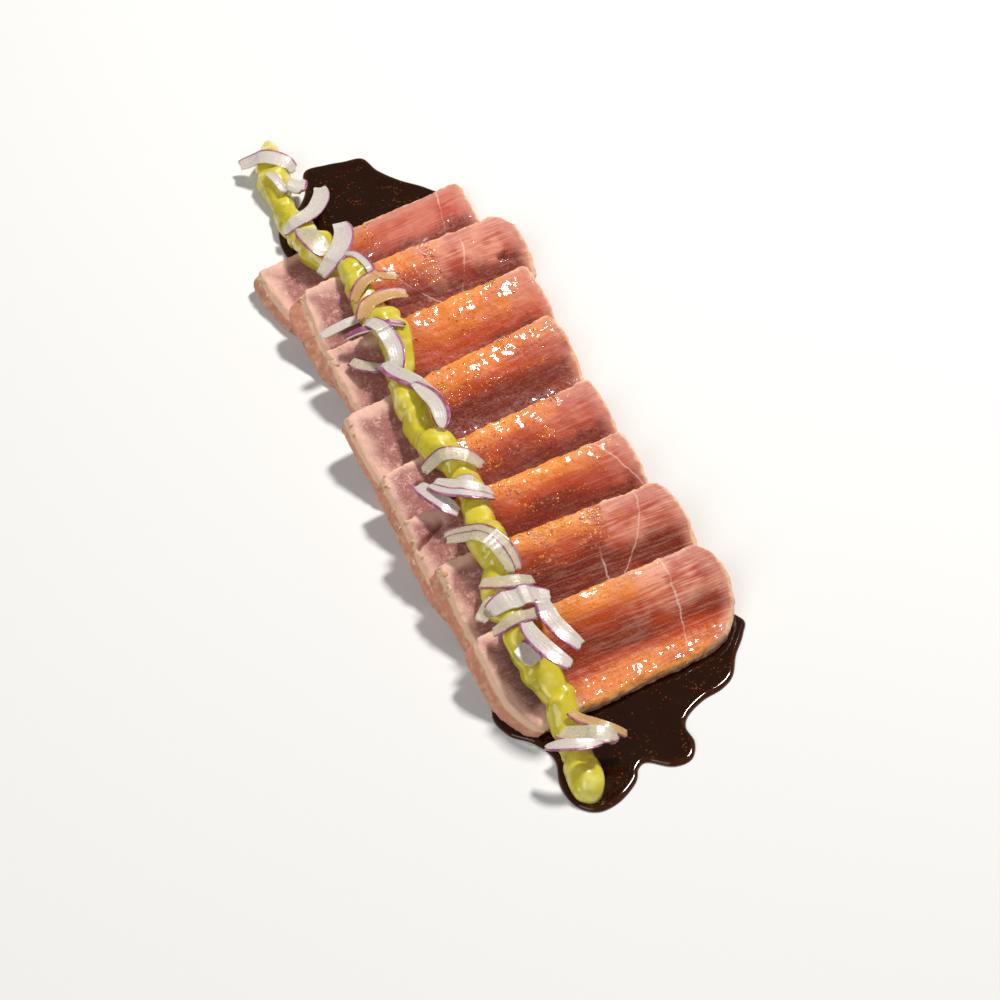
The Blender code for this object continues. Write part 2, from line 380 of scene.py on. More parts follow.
def wet_speckle_group() -> bpy.types.NodeTree:
    """Build the beaded wetness of a moist surface: soft unevenness with sparse round drops."""
    tree, canvas, inlet, outlet = new_group(
        "wet_speckle",
        (("Vector", "NodeSocketVector", None), ("Scale", "NodeSocketFloat", 900.0),
         ("Drops", "NodeSocketFloat", 1.0)),
        (("Height", "NodeSocketFloat"), ("Glint", "NodeSocketFloat")))
    place, scale = inlet.outputs["Vector"], inlet.outputs["Scale"]
    soft = canvas.noise(place, canvas.times(scale, 0.8), 1.6, 0.6)
    drops = None
    for size, share in ((1.0, 0.42), (1.7, 0.32)):
        cells = canvas.node("ShaderNodeTexVoronoi", feature="F1")
        canvas.feed(cells.inputs["Vector"], place)
        canvas.feed(cells.inputs["Scale"], canvas.times(scale, size))
        chance = canvas.node("ShaderNodeSeparateColor")
        canvas.feed(chance.inputs[0], cells.outputs["Color"])
        dome = canvas.times(canvas.span(cells.outputs["Distance"], 0.36, 0.04),
                           canvas.math("GREATER_THAN", chance.outputs[0], share))
        dome = canvas.math("DIVIDE", dome, size)
        drops = dome if drops is None else canvas.math("MAXIMUM", drops, dome)
    drops = canvas.times(drops, inlet.outputs["Drops"])
    canvas.feed(outlet.inputs["Height"], canvas.line(soft, 0.9, drops))
    canvas.feed(outlet.inputs["Glint"], canvas.span(drops, 0.1, 0.5))
    return tree


def fibre_group() -> bpy.types.NodeTree:
    """Build fine wavering lines that run along a piece's length."""
    tree, canvas, inlet, outlet = new_group(
        "fibre_lines",
        (("Along", "NodeSocketFloat", 0.0), ("Across", "NodeSocketFloat", 0.0),
         ("Spacing", "NodeSocketFloat", 0.9), ("Waver", "NodeSocketFloat", 0.6)),
        (("Lines", "NodeSocketFloat"),))
    along, across = inlet.outputs["Along"], inlet.outputs["Across"]
    drift = canvas.flat_vector(canvas.times(along, 0.12), canvas.times(across, 0.12))
    sway = canvas.times(canvas.math("SUBTRACT", canvas.noise(drift, 1.0, 1.0), 0.5),
                        canvas.times(inlet.outputs["Waver"], 6.0))
    moved = canvas.math("DIVIDE", canvas.math("ADD", across, sway), inlet.outputs["Spacing"])
    stretched = canvas.flat_vector(canvas.times(along, 0.10), moved)
    canvas.feed(outlet.inputs["Lines"], canvas.span(canvas.noise(stretched, 1.0, 2.0), 0.3, 0.7))
    return tree


@dataclass(frozen=True)
class Gloss:
    """The constants of a Principled surface."""

    specular: float = 0.5
    ior: float = 1.4
    coat_roughness: float = 0.08
    subsurface: float = 0.0
    subsurface_radius: Colour = (1.0, 0.4, 0.2)
    subsurface_scale: float = 0.002
    transmission: float = 0.0


def new_surface(name: str, gloss: Gloss) -> tuple:
    """Make a material and set its surface's constants.

    Args:
        name: The material's name.
        gloss: The constants.

    Returns:
        The material, a canvas on its nodes and its Principled node.
    """
    material = bpy.data.materials.new(name)
    material.use_nodes = True
    surface = material.node_tree.nodes["Principled BSDF"]
    for label, value in (("Specular IOR Level", gloss.specular), ("IOR", gloss.ior),
                         ("Coat Roughness", gloss.coat_roughness), ("Subsurface Weight", gloss.subsurface),
                         ("Subsurface Radius", gloss.subsurface_radius),
                         ("Subsurface Scale", gloss.subsurface_scale),
                         ("Transmission Weight", gloss.transmission)):
        surface.inputs[label].default_value = value
    return material, Canvas(material.node_tree), surface


def paint(canvas: Canvas, surface: bpy.types.Node, colour: object, rough: object,
          coat: object = 0.0) -> None:
    """Feed a surface's colour, roughness and coat."""
    for label, source in (("Base Color", colour), ("Roughness", rough), ("Coat Weight", coat)):
        canvas.feed(surface.inputs[label], source)


def add_relief(canvas: Canvas, surface: bpy.types.Node, height: bpy.types.NodeSocket, depth: float,
               strength: float = 1.0) -> None:
    """Give a surface a fine relief of a depth in millimetres."""
    bump = canvas.node("ShaderNodeBump")
    bump.inputs["Strength"].default_value = strength
    bump.inputs["Distance"].default_value = depth * MM
    canvas.feed(bump.inputs["Height"], height)
    canvas.feed(surface.inputs["Normal"], bump.outputs[0])


# Tuna slices


class GlazeToneAndShade(Enum):
    """How the glaze's tone runs from a slice's ridge down its face, as (millimetres, tone) steps: light at
    the ridge and deep toward the valley, partly sauce pooling in the valley and partly painted light on the
    ridge and painted shade in the valley.
    """

    SHORT = ((0.0, 0.12), (3.0, 0.18), (7.0, 0.45), (11.0, 0.80), (15.0, 1.0), (40.0, 1.0))
    AMBER = ((0.0, 0.15), (4.0, 0.25), (10.0, 0.42), (14.0, 0.65), (18.0, 0.9), (40.0, 1.0))
    WHOLE = ((0.0, 0.10), (5.0, 0.20), (9.5, 0.62), (13.0, 0.92), (17.0, 0.85), (22.0, 0.45),
             (27.0, 0.38), (40.0, 0.6))


SLICE_LENGTH = 72.0
SLICE_DEPTH = 30.0
SLICE_THICKNESS = 6.2
RIM_ROUND = 1.3


@dataclass(frozen=True)
class SliceLayout:
    """One slice's place and shape, and where its glaze, sinews and seared end lie."""

    left: tuple[float, float]
    right: tuple[float, float]
    left_height: float
    right_height: float
    foot_inset: tuple[float, float] = (6.5, 0.0)
    bulge: float = 2.0
    depth: float = SLICE_DEPTH
    foot_height: float = 5.0
    end_slant: float = 1.0
    corner: float = 3.0
    sag: float = 0.5
    glaze_end: float = 0.8
    glaze_shade_run: GlazeToneAndShade = GlazeToneAndShade.SHORT
    rosy: float = 0.5
    core_dark: float = 0.0
    grain: float = 0.16
    dents: tuple[tuple[float, float, float, float, float, float], ...] = ()
    sinews: tuple[tuple[float, float, float], ...] = ()


SLICES = (
    SliceLayout((-42.3, 84.5), (28.4, 99.6), 7.5, 7.5, foot_inset=(8.0, 0.0), bulge=1.0, foot_height=5.5,
                end_slant=2.2, corner=2.0, glaze_end=0.52, rosy=0.35,
                sinews=((64.0, -0.25, 0.0),)),
    SliceLayout((-39.0, 64.7), (32.5, 75.2), 14.8, 14.0, foot_inset=(5.0, 2.0), bulge=4.5,
                end_slant=5.5, corner=6.0, glaze_end=0.62, rosy=0.8,
                sinews=((30.0, 0.3, 0.02), (57.0, -0.2, -0.01)),
                dents=((26.7, 60.9, 28.1, 61.2, 0.7, 1.6),)),
    SliceLayout((-36.0, 40.0), (31.0, 51.9), 14.0, 14.0, bulge=2.5, end_slant=0.8, corner=2.0,
                glaze_end=0.86, glaze_shade_run=GlazeToneAndShade.AMBER, rosy=0.45),
    SliceLayout((-40.4, 13.1), (29.9, 30.8), 14.0, 14.0, bulge=2.5, end_slant=0.8, corner=1.5,
                glaze_end=0.92, rosy=0.45),
    SliceLayout((-40.3, -11.5), (30.0, 2.7), 13.7, 13.7, bulge=2.5, end_slant=2.6, corner=1.5,
                glaze_end=0.80, rosy=0.35),
    SliceLayout((-41.0, -30.7), (30.1, -21.0), 15.2, 15.2, foot_inset=(5.0, 0.0), end_slant=2.4,
                corner=1.5, glaze_end=0.84, rosy=0.35, sinews=((62.0, 0.5, 0.0),),
                dents=((-28.5, -34.8, -37.2, -39.9, 0.55, 1.5),)),
    SliceLayout((-38.8, -49.6), (31.3, -42.8), 15.7, 15.7, foot_inset=(5.0, 0.0), bulge=5.0,
                end_slant=3.0, corner=3.5, glaze_end=0.70, rosy=0.75, grain=0.5,
                sinews=((48.0, -0.1, 0.0), (64.0, -0.25, -0.02))),
    SliceLayout((-39.8, -77.0), (32.8, -67.2), 14.7, 14.7, foot_inset=(9.0, 5.5), bulge=6.5, depth=28.5,
                foot_height=4.2, end_slant=3.6, corner=4.0, sag=1.5, glaze_end=0.72, grain=0.6,
                glaze_shade_run=GlazeToneAndShade.WHOLE, rosy=1.0, core_dark=0.75, sinews=((60.0, -0.3, 0.01),)),
)

@dataclass(frozen=True)
class TunaFinish:
    """Colours of seared tuna, from its raw core to its brown glaze."""

    core: Colour = (0.34, 0.13, 0.112)
    core_light: Colour = (0.70, 0.40, 0.35)
    core_deep: Colour = (0.15, 0.070, 0.060)
    flesh: Colour = (0.44, 0.070, 0.042)
    flesh_light: Colour = (0.78, 0.34, 0.23)
    margin: Colour = (0.86, 0.55, 0.43)
    cooked: Colour = (0.84, 0.56, 0.36)
    seared: Colour = (0.62, 0.27, 0.17)
    seared_dark: Colour = (0.36, 0.12, 0.060)
    # From glaze_bright to glaze_deep runs the ridge-to-valley tone: partly the glaze's own colour, partly
    # painted light on the ridge and painted shade in the valley.
    glaze_bright: Colour = (0.92, 0.36, 0.050)
    glaze_amber: Colour = (0.73, 0.19, 0.016)
    glaze_mid: Colour = (0.46, 0.055, 0.010)
    glaze_deep: Colour = (0.15, 0.011, 0.004)
    sinew: Colour = (0.95, 0.72, 0.60)

    def material(self, name: str, layout: SliceLayout, speckle: bpy.types.NodeTree,
                 fibres: bpy.types.NodeTree) -> bpy.types.Material:
        """Build one slice's material.

        Args:
            name: The material's name.
            layout: The slice, for its sinews and its rosiness.
            speckle: The shared wet speckle group.
            fibres: The shared fibre group.

        Returns:
            The material.
        """
        material, canvas, surface = new_surface(
            name, Gloss(specular=0.18, ior=1.40, coat_roughness=0.04, subsurface=0.15,
                        subsurface_radius=(1.0, 0.35, 0.20), subsurface_scale=0.0022))
        spot = canvas.spot()
        along, down, inward = canvas.parts(canvas.mark("slice_place").outputs["Vector"])
        glaze = canvas.mark("glaze").outputs["Fac"]
        tone = canvas.mark("glaze_tone_and_shade").outputs["Fac"]
        broad = canvas.noise(spot, 110.0, 2.0)
        middling = canvas.noise(spot, 420.0, 3.0, 0.6)
        fine = canvas.noise(spot, 1500.0, 3.0, 0.65)
        grain = canvas.group(fibres, Along=along, Across=down, Spacing=0.60, Waver=0.12).outputs["Lines"]
        wet = canvas.group(speckle, Vector=spot, Scale=820.0, Drops=canvas.line(glaze, 1.0, 0.25))
        rim = canvas.math("ADD", inward, canvas.line(middling, 2.4, -1.2))

        # Pale mottling of the raw core: partly marbling, partly painted sparkle of the wet surface.
        core_mottle_and_glint = canvas.line(middling, 0.5, canvas.times(fine, 0.5))
        core = canvas.blend(canvas.span(core_mottle_and_glint, 0.46, 0.70), self.core, self.core_light)
        deep_core = canvas.times(canvas.span(inward, 4.0, 9.0), layout.core_dark)
        core = canvas.blend(deep_core, core, self.core_deep)
        blush = canvas.math("ADD", broad, canvas.times(grain, 0.16))
        rosy = canvas.times(canvas.span(blush, 0.42, 0.72), layout.rosy)
        flesh = canvas.blend(rosy, self.flesh, self.flesh_light)
        meat = canvas.blend(canvas.span(along, 22.0, 34.0), core, flesh)
        loose = canvas.math("ADD", rim, canvas.line(broad, 11.0, -5.5))
        fading = canvas.span(along, 20.0, 34.0, 0.75, 0.28)
        pale = canvas.times(canvas.span(loose, 6.0, 1.0), fading)
        meat = canvas.blend(pale, meat, self.margin)
        # Painted light and shade: the ramp is light at the ridge and deep in the valley, partly sauce
        # pooled in the valley.
        tint = canvas.ramp(tone, ((0.0, self.glaze_bright), (0.30, self.glaze_amber),
                                  (0.62, self.glaze_mid), (1.0, self.glaze_deep)))
        tint = canvas.blend(canvas.times(canvas.span(fine, 0.5, 0.8), 0.25), tint, self.glaze_bright)
        meat = canvas.blend(canvas.times(glaze, 0.93), meat, tint)
        for start, slope, bend in layout.sinews:
            centre = canvas.line(down, slope, start)
            centre = canvas.line(canvas.times(down, down), bend, centre)
            wander = canvas.line(middling, 1.6, -0.8)
            off = canvas.math("ADD", canvas.math("SUBTRACT", along, centre), wander)
            strand = canvas.times(canvas.span(canvas.math("ABSOLUTE", off), 0.38, 0.08),
                                  canvas.span(broad, 0.3, 0.5))
            meat = canvas.blend(canvas.times(strand, 0.38), meat, self.sinew)
        edge_tint = canvas.blend(canvas.times(glaze, 0.85), self.cooked, self.glaze_bright)
        meat = canvas.blend(canvas.times(canvas.span(rim, 1.7, 0.5), 0.85), meat, edge_tint)
        near_face = canvas.math("MAXIMUM", canvas.span(inward, -1.9, -0.4), canvas.times(
            canvas.span(middling, 0.45, 0.70), 0.5))
        crust = canvas.blend(near_face, self.seared, self.cooked)
        crust = canvas.blend(canvas.span(canvas.noise(spot, 260.0, 3.0, 0.7), 0.56, 0.82), crust,
                             self.seared_dark)
        colour = canvas.blend(canvas.span(canvas.line(fine, 0.8, inward), 0.25, -0.15), meat, crust)
        # Painted shade: the dents are darkened with the deep glaze colour.
        colour = canvas.blend(canvas.times(canvas.mark("hollow").outputs["Fac"], 0.75), colour,
                              self.glaze_deep)
        threads = canvas.times(canvas.span(grain, 0.45, 0.95), layout.grain)
        threads = canvas.times(threads, canvas.span(inward, 0.0, 1.5, 0.0, 0.15))
        colour = canvas.blend(threads, colour, self.sinew)
        rough = canvas.line(glaze, -0.10, canvas.span(fine, 0.3, 0.7, 0.54, 0.44))
        coat = canvas.line(glaze, 0.46, canvas.times(wet.outputs["Glint"], 0.54))
        paint(canvas, surface, colour, rough, coat)
        relief = canvas.line(grain, 0.30 * layout.grain + 0.05, wet.outputs["Height"])
        relief = canvas.line(fine, 0.22, relief)
        add_relief(canvas, surface, relief, 0.13)
        return material


class TunaSlice:
    """One slice of seared tuna, cut face up, leaning on the foot of the slice behind it."""

    def __init__(self, number: int, layout: SliceLayout) -> None:
        """Take the slice's number from the back and its layout."""
        self.number = number
        self.layout = layout
        self.lattice = Lattice(100 + number)

    def spread(self, u: np.ndarray, v: np.ndarray, w: np.ndarray) -> np.ndarray:
        """Return the places of points given by their shares along, up and through the slice."""
        layout = self.layout
        drop = 1.0 - v
        y_ridge = layout.left[1] + (layout.right[1] - layout.left[1]) * u
        near = np.minimum(v, drop) * layout.depth
        cut = np.clip(1.0 - near / layout.corner, 0.0, 1.0)
        rounding = layout.corner * (1.0 - np.sqrt(1.0 - cut * cut)) * 0.8
        swell = layout.bulge * 4.0 * v * drop * u ** 3
        inset = layout.foot_inset[0] * (1.0 - u) - layout.foot_inset[1] * u
        x = layout.left[0] + (layout.right[0] - layout.left[0]) * u + inset * drop * drop + swell
        x = x + rounding * (0.6 * (1.0 - u) ** 12 - u ** 12)
        x = x + layout.end_slant * w * (1.0 - u) ** 9 * (0.55 + 0.45 * v)
        y = y_ridge - layout.depth * drop
        height = layout.left_height + (layout.right_height - layout.left_height) * u
        rise = 0.25 * v + 0.75 * v * v * (3.0 - 2.0 * v)
        top = layout.foot_height + (height - layout.foot_height) * rise
        top = top - layout.sag * np.sin(math.pi * np.clip(v * 1.25, 0.0, 1.0)) ** 2
        under = np.maximum(0.0, top - SLICE_THICKNESS)
        margin = np.minimum(np.minimum(u, 1.0 - u) * SLICE_LENGTH, near)
        short = np.maximum(0.0, RIM_ROUND - margin)
        curl = RIM_ROUND - np.sqrt(np.maximum(0.0, RIM_ROUND ** 2 - short ** 2))
        high = top - curl
        low = under + np.minimum(curl, 0.4 * (top - under))
        return np.stack((x, y, low + (high - low) * w), axis=1)

    def roughen(self, piece: bpy.types.Object) -> None:
        """Add the muscle grain, the wet unevenness and the ragged cooked edges."""
        points = read_points(piece)
        place = read_mark(piece, "slice_place")
        normals = read_normals(piece)
        inward = place[:, 2]
        shift = points + 40.0 * self.number
        face = ease(inward, 0.2, 1.6)
        edge = 1.0 - ease(inward, 0.6, 2.4)
        threads = np.stack((place[:, 0] * 0.07, place[:, 1] + 0.6 * self.lattice.at(shift, 9.0),
                            np.full(len(points), 3.0 * self.number)), axis=1)
        push = face * (0.20 * self.lattice.at(shift, 7.0) + 0.09 * self.lattice.at(shift, 2.2)
                       + 0.05 * self.lattice.at(threads, 0.9) + 0.045 * self.lattice.at(shift, 0.8))
        push += edge * (0.30 * self.lattice.at(shift, 3.4) + 0.24 * self.lattice.at(shift, 1.3)
                        + 0.16 * self.lattice.at(shift, 0.7))
        points = points + normals * push[:, None]
        hollow = np.zeros(len(points))
        for x0, y0, x1, y1, width, depth in self.layout.dents:
            start, run = np.array((x0, y0)), np.array((x1 - x0, y1 - y0))
            share = np.clip((points[:, :2] - start) @ run / (run @ run), 0.0, 1.0)
            off = np.linalg.norm(points[:, :2] - start - share[:, None] * run, axis=1)
            off = off + 0.25 * self.lattice.at(shift, 1.5)
            sunk = np.exp(-(off / width) ** 2) * face
            points[:, 2] -= depth * sunk
            hollow = np.maximum(hollow, sunk)
        write_mark(piece, "hollow", hollow)
        points[:, 2] = np.maximum(points[:, 2], 0.0)
        write_points(piece, points)

    def mark_glaze(self, piece: bpy.types.Object) -> None:
        """Keep where the glaze lies and how deep its tone is; the tone holds painted light on the ridge and
        painted shade toward the valley, along with real sauce pooling in the valley.
        """
        points = read_points(piece)
        place = read_mark(piece, "slice_place")
        along = place[:, 0] / SLICE_LENGTH
        drift = 0.05 * self.lattice.at(points, 5.0) + 0.03 * self.lattice.at(points, 1.6)
        start = ease(along + 0.5 * drift, 0.24, 0.29)
        end_place = self.layout.glaze_end
        end = 1.0 - ease(along + 1.6 * drift, end_place - 0.16, end_place + 0.12)
        low_wash = ease(place[:, 1] + 30.0 * drift, 9.0, 16.0)
        cover = start * np.maximum(end, low_wash * (1.0 - ease(along, 0.93, 1.0)))
        cover = cover * ease(place[:, 2], -1.4, 0.4)
        # The tone follows the distance down from the ridge: painted light at the ridge and painted shade
        # toward the valley, partly real sauce pooling.
        tone = np.interp(place[:, 1] + 12.0 * drift, *np.transpose(self.layout.glaze_shade_run.value))
        tone = tone + 0.16 * self.lattice.at(points * np.array((0.5, 1.0, 1.0)), 4.0)
        write_mark(piece, "glaze", np.clip(cover, 0.0, 1.0))
        write_mark(piece, "glaze_tone_and_shade", np.clip(tone, 0.0, 1.0))

    def build(self, blank: bpy.types.Object, material: bpy.types.Material) -> bpy.types.Object:
        """Shape and dress the slice.

        Args:
            blank: The block that every slice is cut from.
            material: The slice's finish.

        Returns:
            The finished slice.
        """
        piece = copy_of(blank, f"seared_slice_{self.number}")
        raw = read_points(piece)
        u = raw[:, 0] / SLICE_LENGTH
        v = raw[:, 1] / SLICE_DEPTH
        w = raw[:, 2] / SLICE_THICKNESS
        margin = np.minimum(np.minimum(raw[:, 0], SLICE_LENGTH - raw[:, 0]),
                            np.minimum(v, 1.0 - v) * self.layout.depth)
        inward = margin - (1.0 - w) * SLICE_THICKNESS
        place = np.stack((raw[:, 0], (1.0 - v) * self.layout.depth, inward), axis=1)
        write_mark(piece, "slice_place", place)
        write_points(piece, self.spread(u, v, w))
        refine(piece, 1)
        self.mark_glaze(piece)
        self.roughen(piece)
        settle(piece)
        present(piece, "seared_tuna", material, f"tuna_slice_{self.number}")
        return piece


class TunaRow:
    """The row of eight slices, modelled from one blank."""

    COLUMNS = 88
    ROWS = 38
    LAYERS = 4

    def __init__(self, speckle: bpy.types.NodeTree, fibres: bpy.types.NodeTree) -> None:
        """Take the shared node groups."""
        self.speckle = speckle
        self.fibres = fibres

    def build(self) -> list[bpy.types.Object]:
        """Build every slice and return them from the back to the front."""
        blank = block("slice_blank", (SLICE_LENGTH, SLICE_DEPTH, SLICE_THICKNESS), self.COLUMNS,
                      self.ROWS, self.LAYERS)
        finish = TunaFinish()
        pieces = []
        for number, layout in enumerate(SLICES, start=1):
            material = finish.material(f"seared_tuna_{number}", layout, self.speckle, self.fibres)
            pieces.append(TunaSlice(number, layout).build(blank, material))
        bpy.data.objects.remove(blank)
        return pieces


class Terrain:
    """What lies on the table so far, for resting further pieces on it."""

    def __init__(self, pieces: list[bpy.types.Object]) -> None:
        """Take the first pieces."""
        self.trees: list[BVHTree] = []
        for piece in pieces:
            self.add(piece)

    def add(self, piece: bpy.types.Object) -> None:
        """Keep a finished piece's surface, in row millimetres."""
        points = read_points(piece) / MM - ROW_SHIFT
        faces = [tuple(face.vertices) for face in piece.data.polygons]
        self.trees.append(BVHTree.FromPolygons(points.tolist(), faces))

    def touch(self, x: float, y: float) -> tuple[Vector, Vector] | None:
        """Return the topmost point and its normal at a place, or None over the bare table."""
        best = None
        for tree in self.trees:
            hit = tree.ray_cast((x, y, PROBE_HEIGHT), (0.0, 0.0, -1.0))
            if hit[0] is not None and (best is None or hit[0].z > best[0].z):
                best = (hit[0], hit[1])
        return best

    def height(self, x: float, y: float, reach: float = 0.0) -> float:
        """Return the greatest height within a reach of a place."""
        best = 0.0
        for turn in range(1 if reach == 0.0 else 9):
            away = 0.0 if turn == 0 else reach
            angle = 0.25 * math.pi * turn
            hit = self.touch(x + away * math.cos(angle), y + away * math.sin(angle))
            if hit is not None:
                best = max(best, hit[0].z)
        return best


ROUTE_SAMPLES = 40


def smooth_route(points: tuple, step: float, closed: bool = False) -> np.ndarray:
    """Return places at an even step along a smooth curve through the given points."""
    count = len(points)
    rows = np.array(points)
    dense = []
    for index in range(count if closed else count - 1):
        near = np.arange(index - 1, index + 3)
        before, start, end, after = rows[near % count if closed else np.clip(near, 0, count - 1)]
        for t in np.linspace(0.0, 1.0, ROUTE_SAMPLES, endpoint=False):
            dense.append(0.5 * (2.0 * start + (end - before) * t
                                + (2.0 * before - 5.0 * start + 4.0 * end - after) * t ** 2
                                + (3.0 * start - before - 3.0 * end + after) * t ** 3))
    dense.append(rows[0] if closed else rows[-1])
    dense = np.array(dense)
    lengths = np.concatenate(([0.0], np.cumsum(np.linalg.norm(np.diff(dense, axis=0), axis=1))))
    stations = np.linspace(0.0, lengths[-1], int(lengths[-1] / step) + 1)
    return np.stack([np.interp(stations, lengths, dense[:, k]) for k in range(rows.shape[1])], axis=1)


# Green cream

CREAM_ROUTE = (
    (-15.7, 144.5), (-19.2, 132.5), (-21.5, 121.5), (-22.4, 108.0), (-21.5, 97.0), (-21.8, 81.5),
    (-17.4, 71.3), (-17.7, 56.5), (-15.9, 40.5), (-16.3, 31.5), (-19.1, 20.5), (-20.6, 6.5),
    (-19.9, -10.5), (-17.1, -17.5), (-18.4, -34.0), (-20.2, -46.0), (-21.2, -58.0), (-23.7, -63.5),
    (-24.4, -85.0), (-21.4, -94.5), (-20.8, -102.0), (-21.6, -111.0), (-22.6, -122.5), (-24.9, -131.0),
)


@dataclass(frozen=True)
class CreamFinish:
    """Colours of the green cream."""

    body: Colour = (0.66, 0.55, 0.030)
    pale: Colour = (0.82, 0.75, 0.18)
    deep: Colour = (0.46, 0.40, 0.020)
    fleck: Colour = (0.12, 0.12, 0.010)

    def material(self, speckle: bpy.types.NodeTree) -> bpy.types.Material:
        """Build the cream's material from the shared wet speckle group."""
        material, canvas, surface = new_surface(
            "green_cream", Gloss(ior=1.45, coat_roughness=0.07, subsurface=0.30,
                                 subsurface_radius=(1.0, 0.9, 0.25), subsurface_scale=0.0025))
        spot = canvas.spot()
        soft = canvas.noise(spot, 160.0, 3.0)
        fine = canvas.noise(spot, 1300.0, 2.0)
        colour = canvas.blend(canvas.span(soft, 0.52, 0.75), self.body, self.pale)
        colour = canvas.blend(canvas.span(soft, 0.46, 0.30), colour, self.deep)
        colour = canvas.blend(canvas.times(canvas.span(fine, 0.72, 0.80), 0.6), colour, self.fleck)
        paint(canvas, surface, colour, canvas.span(soft, 0.3, 0.7, 0.26, 0.40),
              canvas.span(soft, 0.35, 0.6, 0.45, 0.95))
        wet = canvas.group(speckle, Vector=spot, Scale=420.0, Drops=0.0)
        add_relief(canvas, surface, wet.outputs["Height"], 0.10, 0.6)
        return material


@dataclass(frozen=True)
class CreamLine:
    """The piped line of cream, from its pointed far end to its round near end."""

    radius: float = 4.8
    flatness: float = 0.85
    sink: float = 0.55
    step: float = 0.9
    sides: int = 28
    reach: float = 2.5
    smoothing: float = 7.0
    bite: float = 0.25
    clearance: float = 0.6
    creases: tuple[float, ...] = (9.0, 17.0, 31.0, 44.0, 58.0, 66.0, 83.0, 97.0, 108.0, 124.0, 139.0, 151.0,
                                  166.0, 178.0, 190.0, 203.0, 214.0, 226.0, 236.0, 247.0, 256.0, 264.0)

    def half_width(self, share: np.ndarray, length: float) -> np.ndarray:
        """Return the half width at shares of the length, swelling and pinching as piped by hand."""
        along = share * length
        left_over = length - along
        point = np.minimum(1.0, 0.06 + along / 13.0) ** 0.85
        into_end = np.minimum(1.0, (left_over + 0.15) / (1.7 * self.radius))
        end = np.sqrt(1.0 - (1.0 - into_end) ** 2)
        piping = 1.0 + 0.10 * np.sin(along / 7.3) + 0.06 * np.sin(along / 3.1 + 1.0)
        folds = 0.13 * np.abs(np.sin(along / 8.6 + 0.8 * np.sin(along / 17.0))) ** 6
        return self.radius * point * end * (piping - folds)

    def build(self, terrain: Terrain, material: bpy.types.Material) -> bpy.types.Object:
        """Pipe the line over the slices.

        Args:
            terrain: The slices that the line lies on.
            material: The cream's finish.

        Returns:
            The finished line.
        """
        route = smooth_route(CREAM_ROUTE, self.step)
        count = len(route)
        length = self.step * (count - 1)
        rests = np.array([terrain.height(x, y, self.reach) for x, y in route])
        span = int(round(self.smoothing / self.step))
        padded = np.pad(rests, span, mode="edge")
        mean = np.convolve(padded, np.ones(2 * span + 1) / (2 * span + 1), mode="valid")
        small = np.convolve(np.pad(rests, 3, mode="edge"), np.ones(7) / 7.0, mode="valid")
        halves = self.half_width(np.linspace(0.0, 1.0, count), length)
        centres = 0.5 * (mean + small) + self.sink * halves
        ahead = np.gradient(route, axis=0)
        sides = np.stack((-ahead[:, 1], ahead[:, 0]), axis=1)
        sides /= np.linalg.norm(sides, axis=1)[:, None]
        start_selection()
        bpy.ops.mesh.primitive_uv_sphere_add(segments=self.sides, ring_count=count - 1, radius=1.0,
                                             location=(0.0, 0.0, 0.0))
        piece = newest("cream_line_piped")
        raw = read_points(piece)
        station = np.arccos(np.clip(raw[:, 2], -1.0, 1.0)) / math.pi * (count - 1)
        station = np.clip(np.round(station).astype(int), 0, count - 1)
        on_axis = np.linalg.norm(raw[:, :2], axis=1) < 1e-6
        turn = np.arctan2(raw[:, 1], raw[:, 0])
        lobes = (1.0 + 0.035 * np.sin(5.0 * turn + 0.10 * station)
                 + 0.02 * np.sin(9.0 * turn - 0.07 * station))
        passed = station * self.step
        wound = passed + 2.4 * np.cos(turn + 0.9 * np.sin(passed / 9.0))
        for place in self.creases:
            lobes = lobes - 0.17 * np.exp(-((wound - place) / 0.8) ** 2)
            lobes = lobes + 0.09 * np.exp(-((wound - place - 2.6) / 1.7) ** 2)
        outer = np.where(on_axis, 0.0, halves[station] * lobes)
        x = route[station, 0] + sides[station, 0] * np.cos(turn) * outer
        y = route[station, 1] + sides[station, 1] * np.cos(turn) * outer
        z = centres[station] + np.sin(turn) * outer * self.flatness
        for index in range(len(raw)):
            lower_half = z[index] < centres[station[index]]
            least = terrain.height(x[index], y[index]) + (-self.bite if lower_half else self.clearance)
            z[index] = max(z[index], least, 0.0)
        write_points(piece, np.stack((x, y, z), axis=1))
        point_outward(piece)
        refine(piece, 1)
        points = read_points(piece)
        lattice = Lattice(7)
        push = 0.42 * lattice.at(points, 4.5) + 0.10 * lattice.at(points, 1.6)
        points = points + read_normals(piece) * push[:, None]
        points[:, 2] = np.maximum(points[:, 2], 0.0)
        write_points(piece, points)
        settle(piece)
        present(piece, "green_cream", material, "cream_line")
        return piece


# Red onion


class OnionKind(Enum):
    """What a sliver of onion looks like: its share of clearness, lilac and brown stain."""

    WHITE = (0.10, 0.20, 0.0)
    LILAC = (0.15, 0.85, 0.0)
    CLEAR = (0.85, 0.25, 0.10)
    STAINED = (0.35, 0.0, 1.0)


@dataclass(frozen=True)
class SliverLayout:
    """One sliver: its middle, heading and size; its skin lies on the outer, left edge."""

    x: float
    y: float
    heading: float
    length: float
    width: float
    radius: float = 20.0
    droop: float = 1.0
    roll: float = 0.0
    pitch: float = 0.0
    taper: float = 0.3
    kind: OnionKind = OnionKind.WHITE
    rings: int = 1
    skin: float = 1.0


